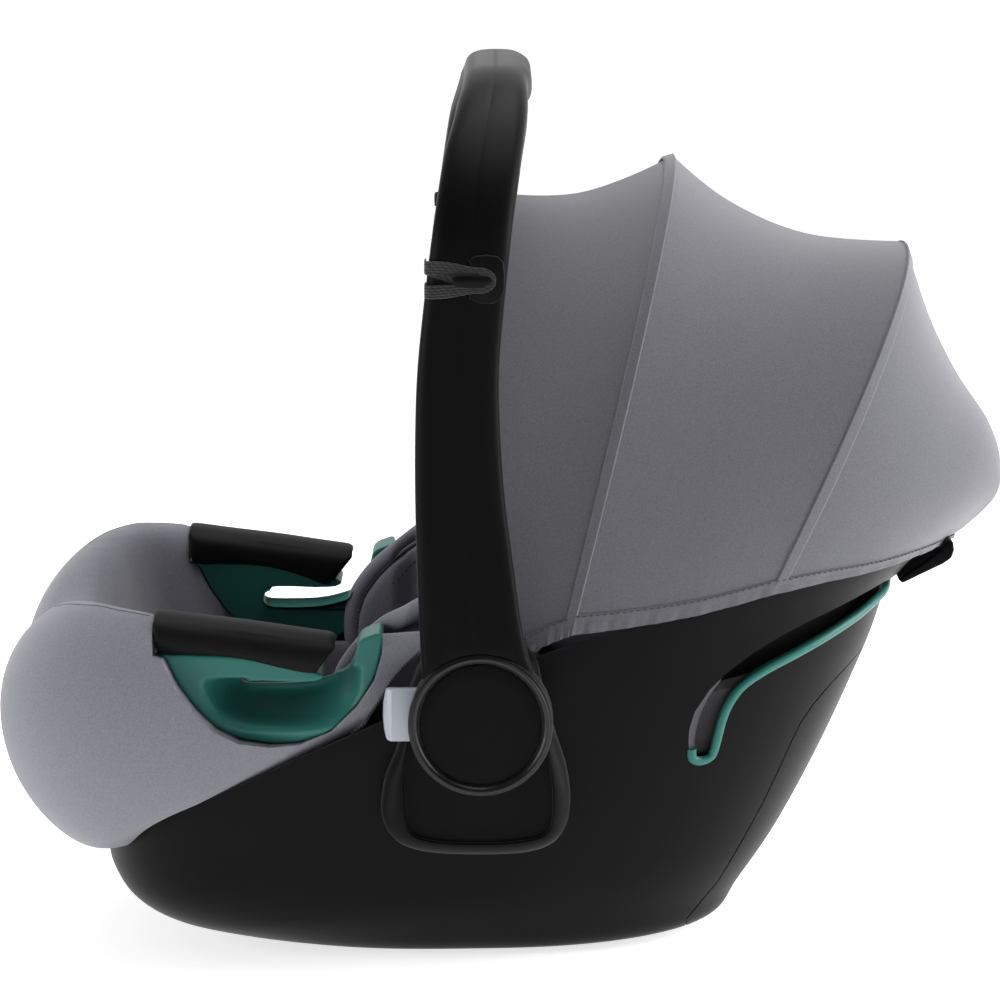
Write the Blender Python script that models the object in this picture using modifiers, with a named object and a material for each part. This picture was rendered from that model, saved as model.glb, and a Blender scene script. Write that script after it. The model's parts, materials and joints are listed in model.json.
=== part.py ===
"""Infant car seat: a bowl-shaped shell with a carrying handle, a folding canopy, padded covers,
belt guides and a harness. +X points to the head end, -X to the feet, +Z up, and the row's
origin is the middle of the rocker's flat, on the ground. Units are metres."""

from math import cos, pi, radians, sin, sqrt

import bmesh
import bpy
from mathutils import Vector

# Driving dimensions
gap = 0.0003               # between parts that touch
hub_x = -0.019             # handle pivot
hub_z = 0.180
wall = 0.0035              # shell wall
liner_depth = 0.0045       # shell's outer face to the foam
liner_thick = 0.011
padding_depth = 0.0165     # shell's outer face to the seat padding
padding_thick = 0.013
front_square = 3.4         # how square the bowl is in plan, at the feet and at the head
rear_square = 2.4

# The bowl from the rim down: front x, z, rear x, z, half width, how soon the side rises
bowl_levels = [
    (-0.272, 0.079, 0.290, 0.268, 0.1890, 1.80),
    (-0.269, 0.068, 0.258, 0.238, 0.1880, 1.78),
    (-0.258, 0.050, 0.248, 0.198, 0.1830, 1.72),
    (-0.236, 0.030, 0.216, 0.132, 0.1720, 1.65),
    (-0.206, 0.016, 0.172, 0.072, 0.1540, 1.50),
    (-0.160, 0.007, 0.132, 0.030, 0.1300, 1.30),
    (-0.125, 0.002, 0.095, 0.010, 0.1120, 1.15),
    (-0.095, 0.000, 0.055, 0.000, 0.0960, 1.00),
]

leg_y = 0.2135             # middle of a handle leg
leg_top = 0.476            # where the legs start to turn in
bar_half = 0.075           # half the straight crossbar
bar_z = 0.582              # middle of the crossbar
# The handle from the hub up: height, middle x, width along x, thickness
handle_stations = [
    (0.205, -0.0195, 0.0730, 0.0185),
    (0.228, -0.0235, 0.0680, 0.0185),
    (0.252, -0.0262, 0.0645, 0.0190),
    (0.285, -0.0290, 0.0615, 0.0190),
    (0.323, -0.0318, 0.0575, 0.0190),
    (0.362, -0.0333, 0.0545, 0.0190),
    (0.407, -0.0330, 0.0520, 0.0190),
    (0.455, -0.0285, 0.0510, 0.0195),
    (0.500, -0.0235, 0.0500, 0.0220),
    (0.540, -0.0165, 0.0480, 0.0250),
    (0.570, -0.0090, 0.0430, 0.0285),
    (0.582, -0.0060, 0.0400, 0.0300),
]

boss_radius = 0.0465
boss_in = 0.2035           # distances from the middle plane
boss_out = 0.2215
cavity_radius = 0.031
cavity_floor = 0.2125
cap_radius = 0.0395
cap_seat = 0.2192
shaft_radius = 0.008
gear_radius = 0.016
housing_face = 0.200

colors = {
    "shell": ((0.012, 0.012, 0.013), 0.42, 0.0),
    "foam": ((0.60, 0.60, 0.62), 0.90, 0.0),
    "green": ((0.028, 0.143, 0.118), 0.40, 0.0),
    "pad": ((0.014, 0.014, 0.015), 0.70, 0.0),
    "fabric": ((0.20, 0.20, 0.235), 0.95, 0.0),
    "button": ((0.30, 0.34, 0.40), 0.35, 0.0),
    "steel": ((0.55, 0.55, 0.56), 0.30, 1.0),
    "webbing": ((0.02, 0.02, 0.022), 0.80, 0.0),
    "red": ((0.60, 0.02, 0.02), 0.35, 0.0),
    "elastic": ((0.012, 0.012, 0.012), 0.85, 0.0),
}


def clear_scene():
    for obj in list(bpy.data.objects):
        bpy.data.objects.remove(obj, do_unlink=True)


def new_collection(name):
    coll = bpy.data.collections.new(name)
    bpy.context.scene.collection.children.link(coll)
    return coll


def paint(obj, look):
    color, rough, metal = colors[look]
    mat = bpy.data.materials.new(obj.name)
    mat.use_nodes = True
    shader = mat.node_tree.nodes["Principled BSDF"]
    shader.inputs["Base Color"].default_value = (*color, 1.0)
    shader.inputs["Roughness"].default_value = rough
    shader.inputs["Metallic"].default_value = metal
    obj.data.materials.append(mat)


def add_mesh(name, bm, look=None, into=None):
    bmesh.ops.recalc_face_normals(bm, faces=bm.faces)
    data = bpy.data.meshes.new(name)
    bm.to_mesh(data)
    bm.free()
    obj = bpy.data.objects.new(name, data)
    (into or parts).objects.link(obj)
    if look:
        paint(obj, look)
        data.shade_smooth()
        data.set_sharp_from_angle(angle=radians(35))
    else:
        obj.hide_render = True
        obj.display_type = "WIRE"
    return obj


def bevel(obj, width, segments=2):
    mod = obj.modifiers.new("rounded edges", "BEVEL")
    mod.width = width
    mod.segments = segments
    mod.limit_method = "ANGLE"
    mod.angle_limit = radians(40)


def cut(obj, cutter, how="DIFFERENCE"):
    mod = obj.modifiers.new("cut by " + cutter.name, "BOOLEAN")
    mod.object = cutter
    mod.operation = how
    mod.solver = "EXACT"


def prism(name, outline, y0, y1, look=None, into=None):
    """An outline in the XZ plane, taken from y0 to y1."""
    bm = bmesh.new()
    near = [bm.verts.new((x, y0, z)) for x, z in outline]
    face = bm.faces.new(near)
    moved = bmesh.ops.extrude_face_region(bm, geom=[face])
    for v in moved["geom"]:
        if isinstance(v, bmesh.types.BMVert):
            v.co.y = y1
    return add_mesh(name, bm, look, into)


def block(name, low, high, look=None, into=None):
    bm = bmesh.new()
    bmesh.ops.create_cube(bm, size=1.0)
    for v in bm.verts:
        for i in range(3):
            v.co[i] = low[i] if v.co[i] < 0 else high[i]
    return add_mesh(name, bm, look, into)


def loft(name, rings, look=None, into=None):
    """A closed body through rings of the same number of points, with flat ends."""
    bm = bmesh.new()
    rows = [[bm.verts.new(p) for p in ring] for ring in rings]
    count = len(rows[0])
    for a, b in zip(rows, rows[1:]):
        for i in range(count):
            j = (i + 1) % count
            bm.faces.new((a[i], a[j], b[j], b[i]))
    bm.faces.new(rows[0])
    bm.faces.new(rows[-1])
    return add_mesh(name, bm, look, into)


def turned(name, profile, look, side=1, at=(0, 0), steps=32):
    """A closed profile of (radius, distance from the middle plane), turned about the hub's axis."""
    data = bpy.data.meshes.new(name)
    count = len(profile)
    data.from_pydata([(r, 0, h) for r, h in profile], [(i, (i + 1) % count) for i in range(count)], [])
    obj = bpy.data.objects.new(name, data)
    parts.objects.link(obj)
    obj.location = (at[0], 0, at[1])
    obj.rotation_euler = (radians(-90) * side, 0, 0)
    mod = obj.modifiers.new("turn", "SCREW")
    mod.steps = steps
    mod.render_steps = steps
    mod.merge_threshold = 0.0001
    mod.use_merge_vertices = True
    paint(obj, look)
    return obj


def tube(name, points, radius, look, resolution=2):
    curve = bpy.data.curves.new(name, "CURVE")
    curve.dimensions = "3D"
    curve.bevel_depth = radius
    curve.bevel_resolution = resolution
    curve.use_fill_caps = True
    line = curve.splines.new("POLY")
    line.points.add(len(points) - 1)
    for spot, p in zip(line.points, points):
        spot.co = (*p, 1.0)
    obj = bpy.data.objects.new(name, curve)
    parts.objects.link(obj)
    paint(obj, look)
    return obj


def ribbon(name, route, width, thick, look):
    """A flat strap of the given width about y, through (x, y, z) points of its middle."""
    rings = []
    for i, p in enumerate(route):
        before = Vector(route[max(i - 1, 0)])
        after = Vector(route[min(i + 1, len(route) - 1)])
        along = (after - before).normalized()
        up = along.cross(Vector((0, 1, 0))).normalized() * thick / 2
        side = Vector((0, width / 2, 0))
        mid = Vector(p)
        rings.append([mid - side - up, mid + side - up, mid + side + up, mid - side + up])
    return loft(name, rings, look)


def lerp(a, b, t):
    return a + (b - a) * t


# The bowl

def level_height(level, x):
    fx, fz, rx, rz, half, rise = level
    t = min(max((x - fx) / (rx - fx), 0.0), 1.0)
    return fz + (rz - fz) * (1 - (1 - t) ** rise)


def level_width(level, x):
    fx, fz, rx, rz, half, rise = level
    if x < hub_x:
        t, power = (hub_x - x) / (hub_x - fx), front_square
    else:
        t, power = (x - hub_x) / (rx - hub_x), rear_square
    return half * (1 - min(t, 1.0) ** power) ** (1 / power)


def bowl_ring(level, count):
    fx, fz, rx, rz, half, rise = level
    ring = []
    for i in range(count):
        a = 2 * pi * (i + 0.5) / count
        c, s = cos(a), sin(a)
        power = front_square if c < 0 else rear_square
        reach = hub_x - fx if c < 0 else rx - hub_x
        x = hub_x + (1 if c > 0 else -1) * reach * abs(c) ** (2 / power)
        y = (1 if s > 0 else -1) * half * abs(s) ** (2 / power)
        ring.append(Vector((x, y, level_height(level, x))))
    return ring


def bowl_width_at(x, z):
    """Half the bowl's outside width at a place seen from the side."""
    rows = [(level_height(l, x), level_width(l, x)) for l in bowl_levels if l[0] < x < l[2]]
    for (za, ya), (zb, yb) in zip(rows, rows[1:]):
        if zb <= z <= za:
            return lerp(yb, ya, (z - zb) / (za - zb))
    return rows[0][1] if z > rows[0][0] else rows[-1][1] * 0.6


def bowl_surface(levels, count, depth):
    """The open bowl, moved in by depth."""
    bm = bmesh.new()
    rows = [[bm.verts.new(p) for p in bowl_ring(level, count)] for level in levels]
    for a, b in zip(rows, rows[1:]):
        for i in range(count):
            j = (i + 1) % count
            bm.faces.new((a[i], b[i], b[j], a[j]))
    bm.faces.new(list(reversed(rows[-1])))
    bm.normal_update()
    bm.faces.ensure_lookup_table()
    if bm.faces[0].normal.dot(bm.faces[0].calc_center_median() - Vector((0, 0, 0.2))) < 0:
        bmesh.ops.reverse_faces(bm, faces=bm.faces)
        bm.normal_update()
    shifts = [v.normal * depth for v in bm.verts]
    for v, shift in zip(bm.verts, shifts):
        v.co -= shift
    return bm


def bowl_layer(name, levels, count, depth, thick, look):
    bm = bowl_surface(levels, count, depth)
    data = bpy.data.meshes.new(name)
    bm.to_mesh(data)
    bm.free()
    obj = bpy.data.objects.new(name, data)
    parts.objects.link(obj)
    paint(obj, look)
    mod = obj.modifiers.new("thickness", "SOLIDIFY")
    mod.thickness = thick
    mod.offset = -1
    return obj


def bowl_envelope():
    """The bowl as a full body, a little larger, that cuts what is fitted on its outside."""
    bm = bowl_surface(bowl_levels, 40, -2 * gap)
    rim = [e for e in bm.edges if e.is_boundary]
    moved = bmesh.ops.extrude_edge_only(bm, edges=rim)
    for v in moved["geom"]:
        if isinstance(v, bmesh.types.BMVert):
            v.co.z = 0.32
    bmesh.ops.holes_fill(bm, edges=[e for e in bm.edges if e.is_boundary])
    return add_mesh("bowl_envelope", bm, None, cutters)


slot_low = [(0.1170, 0.1520), (0.1185, 0.1430), (0.1240, 0.1390), (0.1320, 0.1410), (0.1360, 0.1480),
            (0.1410, 0.1690), (0.1470, 0.1820), (0.1550, 0.1910), (0.1690, 0.1990), (0.1910, 0.2080),
            (0.2110, 0.2160), (0.2330, 0.2250), (0.2480, 0.2320), (0.3400, 0.2360)]
slot_high = [(0.3400, 0.2478), (0.2480, 0.2470), (0.2330, 0.2425), (0.2160, 0.2370), (0.1970, 0.2310),
             (0.1770, 0.2240), (0.1560, 0.2160), (0.1360, 0.2050), (0.1240, 0.1930), (0.1180, 0.1800)]
panel_seam = [(0.1200, 0.0150), (0.1410, 0.0420), (0.1560, 0.0720), (0.1690, 0.0980), (0.1790, 0.1210),
              (0.1880, 0.1430), (0.1940, 0.1560), (0.2020, 0.1670), (0.2140, 0.1790), (0.2260, 0.1890),
              (0.2340, 0.2020), (0.2420, 0.2360), (0.3400, 0.2420)]


def make_shell():
    slot = prism("slot_cutter", slot_low + slot_high, -0.25, 0.25, None, cutters)
    region = panel_seam + [(0.40, 0.242), (0.40, -0.05), (0.1200, -0.05)]
    behind = prism("panel_region", region, -0.25, 0.25, None, cutters)
    grown = [(x - 2 * gap, z) for x, z in panel_seam]
    wide = prism("panel_clearance", grown + region[len(panel_seam):-1] + [(0.1194, -0.05)],
                 -0.25, 0.25, None, cutters)
    shell = bowl_layer("outer_shell", bowl_levels, 40, 0.0, wall, "shell")
    cut(shell, wide)
    cut(shell, slot)
    panel = bowl_layer("rear_cover_panel", bowl_levels, 40, 0.0, wall, "shell")
    cut(panel, behind, "INTERSECT")
    cut(panel, slot)
    bowl_layer("foam_liner", bowl_levels[2:], 28, liner_depth, liner_thick, "foam")


def make_slot_trim():
    """The green edge along the slot's lower side, round the back of the bowl."""
    lift = 0.0034
    side = []
    edge = slot_low[1:-1]
    for i, (x, z) in enumerate(edge):
        xa, za = edge[max(i - 1, 0)]
        xb, zb = edge[min(i + 1, len(edge) - 1)]
        run = sqrt((xb - xa) ** 2 + (zb - za) ** 2)
        px, pz = x - (zb - za) / run * lift, z + (xb - xa) / run * lift
        side.append((px, bowl_width_at(px, pz) - 0.0005, pz))
    back_x = 0.2580
    turn = [(back_x - 0.0030, 0.030, 0.2388), (back_x, 0.0, 0.2390)]
    points = [(x, -y, z) for x, y, z in side] + [(x, -y, z) for x, y, z in turn[:1]] + [turn[1]]
    points += [turn[0]] + [(x, y, z) for x, y, z in reversed(side)]
    tube("belt_slot_trim", points, 0.0026, "green", 2)


# Handle and hub

def handle_at(height):
    rows = handle_stations
    for a, b in zip(rows, rows[1:]):
        if a[0] <= height <= b[0]:
            t = (height - a[0]) / (b[0] - a[0])
            return [lerp(p, q, t) for p, q in zip(a[1:], b[1:])]
    return rows[-1][1:] if height > rows[-1][0] else rows[0][1:]


def handle_path():
    """(y, z, tangent angle) from the left hub over the top to the right one."""
    reach = leg_y - bar_half
    rise = bar_z - leg_top
    side = [(-leg_y, z, pi / 2) for z in (0.205, 0.24, 0.28, 0.32, 0.36, 0.41, 0.45, leg_top)]
    for i in range(1, 8):
        a = pi / 2 * i / 8
        y = -bar_half - reach * cos(a)
        z = leg_top + rise * sin(a)
        dy, dz = reach * sin(a), rise * cos(a)
        side.append((y, z, Vector((dy, dz)).angle_signed(Vector((1, 0)))))
    side.append((-bar_half, bar_z, 0.0))
    return side + [(-y, z, -a) for y, z, a in reversed(side)]


def half_section(front, middle, width, thick, normal, center):
    square = 2.6
    count = 8
    ring = []
    for i in range(count + 1):
        a = -pi / 2 + pi * i / count
        c, s = max(cos(a), 0.0), sin(a)
        off = gap / 2 + (width / 2 - gap / 2) * c ** (2 / square)
        across = thick / 2 * (1 if s > 0 else -1) * abs(s) ** (2 / square)
        x = middle - off if front else middle + off
        ring.append(Vector((x, center[0], center[1])) + normal * across)
    return ring


def make_handle():
    hub_cutters = [turned_cutter(s) for s in (-1, 1)]
    for name, front in (("handle_front_half", True), ("handle_rear_half", False)):
        rings = []
        for y, z, angle in handle_path():
            middle, width, thick = handle_at(z)
            normal = Vector((0, -sin(angle), cos(angle)))
            rings.append(half_section(front, middle, width, thick, normal, (y, z)))
        obj = loft(name, rings, "shell")
        for cutter in hub_cutters:
            cut(obj, cutter)


def turned_cutter(side):
    bm = bmesh.new()
    bmesh.ops.create_cone(bm, cap_ends=True, segments=48, radius1=boss_radius + gap,
                          radius2=boss_radius + gap, depth=0.08)
    for v in bm.verts:
        v.co = Vector((v.co.x + hub_x, side * leg_y - v.co.z, v.co.y + hub_z))
    return add_mesh("hub_cutter_" + ("left" if side < 0 else "right"), bm, None, cutters)


housing_outline = [(0.013, 0.222), (-0.020, 0.230), (-0.050, 0.222), (-0.064, 0.200), (-0.068, 0.175),
                   (-0.073, 0.160), (-0.081, 0.139), (-0.084, 0.119), (-0.081, 0.105), (-0.071, 0.094),
                   (-0.052, 0.0885), (-0.021, 0.0870), (0.010, 0.0885), (0.028, 0.095), (0.037, 0.108),
                   (0.039, 0.126), (0.036, 0.146), (0.029, 0.169), (0.019, 0.205)]
plate_outline = [(0.018, 0.166), (-0.058, 0.166), (-0.067, 0.150), (-0.0695, 0.130), (-0.066, 0.107),
                 (-0.052, 0.0995), (-0.021, 0.0980), (0.010, 0.0995), (0.025, 0.106), (0.0275, 0.130),
                 (0.0245, 0.150)]


def make_hub(side, tag):
    envelope = bpy.data.objects["bowl_envelope"]
    y = side

    housing = prism("hub_housing_" + tag, housing_outline, y * 0.150, y * housing_face, "shell")
    bevel(housing, 0.0030, 2)
    cut(housing, envelope)
    hole = prism("shaft_hole_" + tag, circle(shaft_radius + gap, 24), y * 0.14, y * 0.215, None, cutters)
    cut(housing, hole)

    plate = prism("housing_plate_" + tag, plate_outline, y * (housing_face + gap), y * 0.2020, "shell")
    bevel(plate, 0.0006, 1)

    prism("pivot_shaft_" + tag, circle(shaft_radius, 24), y * 0.1905, y * (cap_seat - gap), "steel")

    teeth = 16
    gear = []
    for i in range(teeth * 4):
        r = gear_radius if i % 4 in (1, 2) else gear_radius - 0.0025
        a = 2 * pi * i / (teeth * 4)
        gear.append((hub_x + r * cos(a), hub_z + r * sin(a)))
    lock = prism("lock_gear_" + tag, gear, y * 0.2040, y * 0.2110, "steel")
    cut(lock, hole)

    boss = turned("hub_boss_" + tag, [
        (shaft_radius + 0.0005, cap_seat), (cap_radius + 0.0005, cap_seat), (cap_radius + 0.0005, boss_out),
        (0.0432, boss_out), (0.0450, boss_out - 0.0010), (boss_radius, boss_out - 0.0040),
        (boss_radius, boss_in), (cavity_radius, boss_in), (cavity_radius, cavity_floor),
        (shaft_radius + 0.0005, cavity_floor)], "shell", side, (hub_x, hub_z), 40)
    pocket = [(-0.052, -0.0200), (-0.0385, -0.0200), (-0.0385, -0.0108), (-0.0280, -0.0108),
              (-0.0280, 0.0108), (-0.0385, 0.0108), (-0.0385, 0.0200), (-0.052, 0.0200)]
    pocket = prism("button_pocket_" + tag, around_hub(pocket), y * 0.200, y * 0.2116, None, cutters)
    cut(boss, pocket)

    prism("hub_cap_" + tag, circle(cap_radius, 48), y * (cap_seat + gap), y * 0.2228, "shell")
    bevel(bpy.data.objects["hub_cap_" + tag], 0.0009, 2)

    button = [(-0.0300, -0.0102), (-0.0300, 0.0102), (-0.0465, 0.0102), (-0.0465, 0.0192),
              (-0.0570, 0.0190), (-0.0600, 0.0150), (-0.0616, 0.0050), (-0.0612, -0.0080),
              (-0.0596, -0.0170), (-0.0575, -0.0190), (-0.0465, -0.0192), (-0.0465, -0.0102)]
    button = prism("release_button_" + tag, around_hub(button), y * 0.2045, y * 0.2112, "button")
    bevel(button, 0.0007, 1)

    turns = 3
    coil = []
    for i in range(turns * 8 + 1):
        a = 2 * pi * i / 8
        x = hub_x - 0.0292 + 0.0062 * i / (turns * 8)
        coil.append((x, y * (0.2078 + 0.0024 * cos(a)), hub_z + 0.0024 * sin(a)))
    tube("button_spring_" + tag, coil, 0.0004, "steel", 1)


def circle(radius, count):
    return [(hub_x + radius * cos(2 * pi * i / count), hub_z + radius * sin(2 * pi * i / count))
            for i in range(count)]


def around_hub(outline):
    return [(hub_x + u, hub_z + v) for u, v in outline]


def make_canopy_loop(side, tag):
    """Elastic loop that holds the canopy's front edge to a handle leg, its peg and its plate."""
    low, high = 0.459, 0.477
    middle, width, _ = handle_at(low)
    thick = handle_at(high)[2]
    out = leg_y + thick / 2
    front = middle - width / 2
    inner = leg_y - thick / 2
    band = 0.0016
    loose = 0.0009
    outline = [(middle - 0.006, out + loose), (front + 0.006, out + loose), (front - loose, leg_y + 0.005),
               (front - loose, leg_y - 0.005), (front + 0.006, inner - loose), (middle - 0.006, inner - loose)]
    outer = [(middle - 0.006, out + loose + band), (front + 0.004, out + loose + band),
             (front - loose - band, leg_y + 0.006), (front - loose - band, leg_y - 0.006),
             (front + 0.004, inner - loose - band), (middle - 0.006, inner - loose - band)]
    bm = bmesh.new()
    loop = [bm.verts.new((x, side * y, low)) for x, y in outline + outer[::-1]]
    face = bm.faces.new(loop)
    moved = bmesh.ops.extrude_face_region(bm, geom=[face])
    for v in moved["geom"]:
        if isinstance(v, bmesh.types.BMVert):
            v.co.z = high
    add_mesh("elastic_loop_" + tag, bm, "elastic")

    face_y = out + gap
    plate = [(-0.0265, 0.4525), (-0.0085, 0.4525), (-0.0050, 0.4560), (-0.0050, 0.4780),
             (-0.0085, 0.4815), (-0.0265, 0.4815)]
    prism("loop_plate_" + tag, plate, side * face_y, side * (face_y + 0.0022), "pad")
    peg = [(-0.0365 + 0.0195 * (1 - cos(pi * i / 8)), 0.4680 + 0.0046 * sin(pi * i / 8)) for i in range(9)]
    peg += [(x, 0.9360 - z) for x, z in reversed(peg[1:-1])]
    prism("loop_peg_" + tag, peg, side * (face_y + 0.0026), side * (face_y + 0.0052), "pad")


# Belt guides and covers

guide_outline = [(-0.2280, 0.2165), (-0.2240, 0.2040), (-0.2140, 0.1880), (-0.2010, 0.1740),
                 (-0.1850, 0.1640), (-0.1620, 0.1590), (-0.1430, 0.1590), (-0.1230, 0.1640),
                 (-0.1070, 0.1740), (-0.0940, 0.1880), (-0.0860, 0.2040), (-0.0820, 0.2210),
                 (-0.0825, 0.2350), (-0.0870, 0.2365), (-0.0945, 0.2355), (-0.0995, 0.2310),
                 (-0.1010, 0.2220), (-0.1020, 0.2120), (-0.1070, 0.2040), (-0.1170, 0.1980),
                 (-0.1360, 0.1930), (-0.1620, 0.1920), (-0.1790, 0.1950), (-0.1860, 0.2010),
                 (-0.1840, 0.2050), (-0.1620, 0.2060), (-0.1360, 0.2040), (-0.1230, 0.2030),
                 (-0.1215, 0.2080), (-0.1680, 0.2125)]
pad_outline = [(-0.2260, 0.2195), (-0.1680, 0.2135), (-0.1225, 0.2088), (-0.1165, 0.2180),
               (-0.1140, 0.2290), (-0.1175, 0.2335), (-0.1450, 0.2385), (-0.1750, 0.2425),
               (-0.2050, 0.2450), (-0.2300, 0.2460), (-0.2305, 0.2330)]


def make_guide(side, tag):
    guide = prism("lap_belt_guide_" + tag, guide_outline, side * 0.146, side * 0.186, "green")
    bevel(guide, 0.0014, 1)
    pad = prism("arm_pad_" + tag, pad_outline, side * 0.143, side * 0.189, "pad")
    bevel(pad, 0.0022, 2)


def rim_height(x):
    return level_height(bowl_levels[0], x)


# The cover's path from the hub round the feet: x, y, crest height, bulge, half thickness
cover_path = [
    (-0.048, 0.1610, 0.2270, 0.004, 0.0110),
    (-0.080, 0.1620, 0.2300, 0.005, 0.0150),
    (-0.115, 0.1620, 0.2320, 0.006, 0.0180),
    (-0.150, 0.1610, 0.2340, 0.007, 0.0200),
    (-0.185, 0.1590, 0.2370, 0.008, 0.0210),
    (-0.215, 0.1560, 0.2410, 0.012, 0.0220),
    (-0.240, 0.1470, 0.2450, 0.022, 0.0220),
    (-0.258, 0.1300, 0.2450, 0.034, 0.0220),
    (-0.266, 0.1050, 0.2380, 0.0470, 0.0225),
    (-0.2685, 0.0700, 0.2200, 0.0520, 0.0225),
    (-0.2685, 0.0350, 0.2060, 0.0520, 0.0225),
    (-0.2685, 0.0000, 0.2000, 0.0520, 0.0225),
]


def make_cover():
    rows = [(x, -y, top, bulge, half) for x, y, top, bulge, half in cover_path]
    rows += [(x, -y, top, bulge, half) for x, y, top, bulge, half in reversed(rows[:-1])]
    rings = []
    count = 12
    for i, (x, y, top, bulge, half) in enumerate(rows):
        xa, ya = rows[max(i - 1, 0)][:2]
        xb, yb = rows[min(i + 1, len(rows) - 1)][:2]
        along = Vector((xb - xa, yb - ya, 0)).normalized()
        out = Vector((0, 0, 1)).cross(along)
        if out.dot(Vector((x - hub_x, y, 0))) < 0:
            out.negate()
        bottom = rim_height(x) + 0.0015
        ring = []
        for k in range(count):
            a = 2 * pi * (k + 0.5) / count
            c, s = cos(a), sin(a)
            rise = 0.5 + 0.5 * (1 if s > 0 else -1) * abs(s) ** (2 / 2.6)
            across = half * (1 if c > 0 else -1) * abs(c) ** (2 / 2.6) + bulge * sin(pi * rise)
            ring.append(Vector((x, y, lerp(bottom, top, rise))) + out * across)
        rings.append(ring)
    cover = loft("side_wall_cover", rings, "fabric")
    around = [(-0.2315, 0.2560), (-0.2325, 0.2330), (-0.2285, 0.2160), (-0.2245, 0.2035),
              (-0.2145, 0.1872), (-0.2013, 0.1732), (-0.1852, 0.1632), (-0.1620, 0.1580),
              (-0.1430, 0.1580), (-0.1227, 0.1630), (-0.1063, 0.1732), (-0.0932, 0.1874),
              (-0.0850, 0.2038), (-0.0808, 0.2208), (-0.0813, 0.2560)]
    for side, tag in ((-1, "left"), (1, "right")):
        cut(cover, prism("guide_clearance_" + tag, around, side * 0.10, side * 0.22, None, cutters))


def make_padding():
    bowl_layer("seat_padding", bowl_levels[2:], 28, padding_depth, padding_thick, "fabric")


# Canopy: each hoop is its foot x, z, half width, and its top x, z
hoops = [
    (0.0120, 0.2150, 0.1850, -0.0120, 0.5000),
    (0.0250, 0.2260, 0.1855, 0.0480, 0.5050),
    (0.0400, 0.2380, 0.1860, 0.1100, 0.5230),
    (0.0750, 0.2400, 0.1830, 0.1500, 0.4960),
    (0.1200, 0.2480, 0.1770, 0.2050, 0.4740),
    (0.1690, 0.2620, 0.1650, 0.2670, 0.4650),
    (0.2050, 0.2660, 0.1470, 0.2830, 0.4180),
    (0.2400, 0.2690, 0.1220, 0.3030, 0.3780),
    (0.2680, 0.2720, 0.0900, 0.3260, 0.3450),
    (0.2870, 0.2740, 0.0550, 0.3350, 0.3180),
    (0.2960, 0.2750, 0.0250, 0.3320, 0.2930),
]
front_bow_hoop = 2
rear_bow_hoop = 5
hoop_square = 2.35


def hoop_points(hoop, count):
    xf, zf, half, xt, zt = hoop
    points = []
    for i in range(count + 1):
        a = pi * i / count
        rise = sin(a) ** (2 / hoop_square) if 0 < i < count else 0.0
        y = -half * (1 if cos(a) > 0 else -1) * abs(cos(a)) ** (2 / hoop_square)
        points.append(Vector((lerp(xf, xt, rise), y, lerp(zf, zt, rise))))
    return points


def between(a, b, t):
    return tuple(lerp(p, q, t) for p, q in zip(a, b))


def canopy_panel(name, rows, look="fabric", count=16):
    bm = bmesh.new()
    grid = [[bm.verts.new(p) for p in hoop_points(hoop, count)] for hoop in rows]
    for a, b in zip(grid, grid[1:]):
        for i in range(count):
            bm.faces.new((a[i], b[i], b[i + 1], a[i + 1]))
    bm.normal_update()
    bm.faces.ensure_lookup_table()
    middle = bm.faces[count // 2]
    if middle.normal.dot(middle.calc_center_median() - Vector((0.1, 0, 0.25))) < 0:
        bmesh.ops.reverse_faces(bm, faces=bm.faces)
    data = bpy.data.meshes.new(name)
    bm.to_mesh(data)
    bm.free()
    obj = bpy.data.objects.new(name, data)
    parts.objects.link(obj)
    paint(obj, look)
    mod = obj.modifiers.new("thickness", "SOLIDIFY")
    mod.thickness = 0.0018
    mod.offset = -1


def make_canopy():
    split = 0.08
    f, r = front_bow_hoop, rear_bow_hoop
    canopy_panel("canopy_front_panel", hoops[:f] + [between(hoops[f - 1], hoops[f], 1 - split)])
    canopy_panel("canopy_middle_panel", [between(hoops[f], hoops[f + 1], split)] + hoops[f + 1:r]
                 + [between(hoops[r - 1], hoops[r], 1 - split)])
    canopy_panel("canopy_rear_panel", [between(hoops[r], hoops[r + 1], split)] + hoops[r + 1:])
    for name, index in (("canopy_front_bow", f), ("canopy_rear_bow", r)):
        xf, zf, half, xt, zt = hoops[index]
        inside = 0.0078
        lower = (xf - 0.2 * inside, zf + 0.003, half - inside, xt - 0.8 * inside, zt - inside)
        tube(name, hoop_points(lower, 22), 0.0030, "pad", 2)
    xf, zf = hoops[f][:2]
    for side, tag in ((-1, "left"), (1, "right")):
        disc = [(xf + 0.008 * cos(2 * pi * i / 20), zf + 0.001 + 0.008 * sin(2 * pi * i / 20))
                for i in range(20)]
        prism("bow_pivot_" + tag, disc, side * 0.1705, side * 0.1740, "pad")


# Headrest, harness and controls

back_up = Vector((0.553, 0.0, 0.833))       # along the backrest
back_out = Vector((-0.833, 0.0, 0.553))     # away from it, towards the child
head_base = Vector((0.1500, 0.0, 0.1440))


def make_headrest():
    outline = [(-0.080, 0.000), (0.080, 0.000), (0.088, 0.010), (0.092, 0.062), (0.086, 0.071),
               (0.076, 0.070), (0.070, 0.060), (0.066, 0.024), (0.057, 0.016), (-0.057, 0.016),
               (-0.066, 0.024), (-0.070, 0.060), (-0.076, 0.070), (-0.086, 0.071), (-0.092, 0.062),
               (-0.088, 0.010)]
    rings = []
    for up, grow in ((0.0, 0.92), (0.010, 1.0), (0.085, 1.0), (0.105, 0.94)):
        rings.append([head_base + back_up * up + back_out * out + Vector((0, y * grow, 0))
                      for y, out in outline])
    loft("headrest", rings, "fabric")


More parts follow.
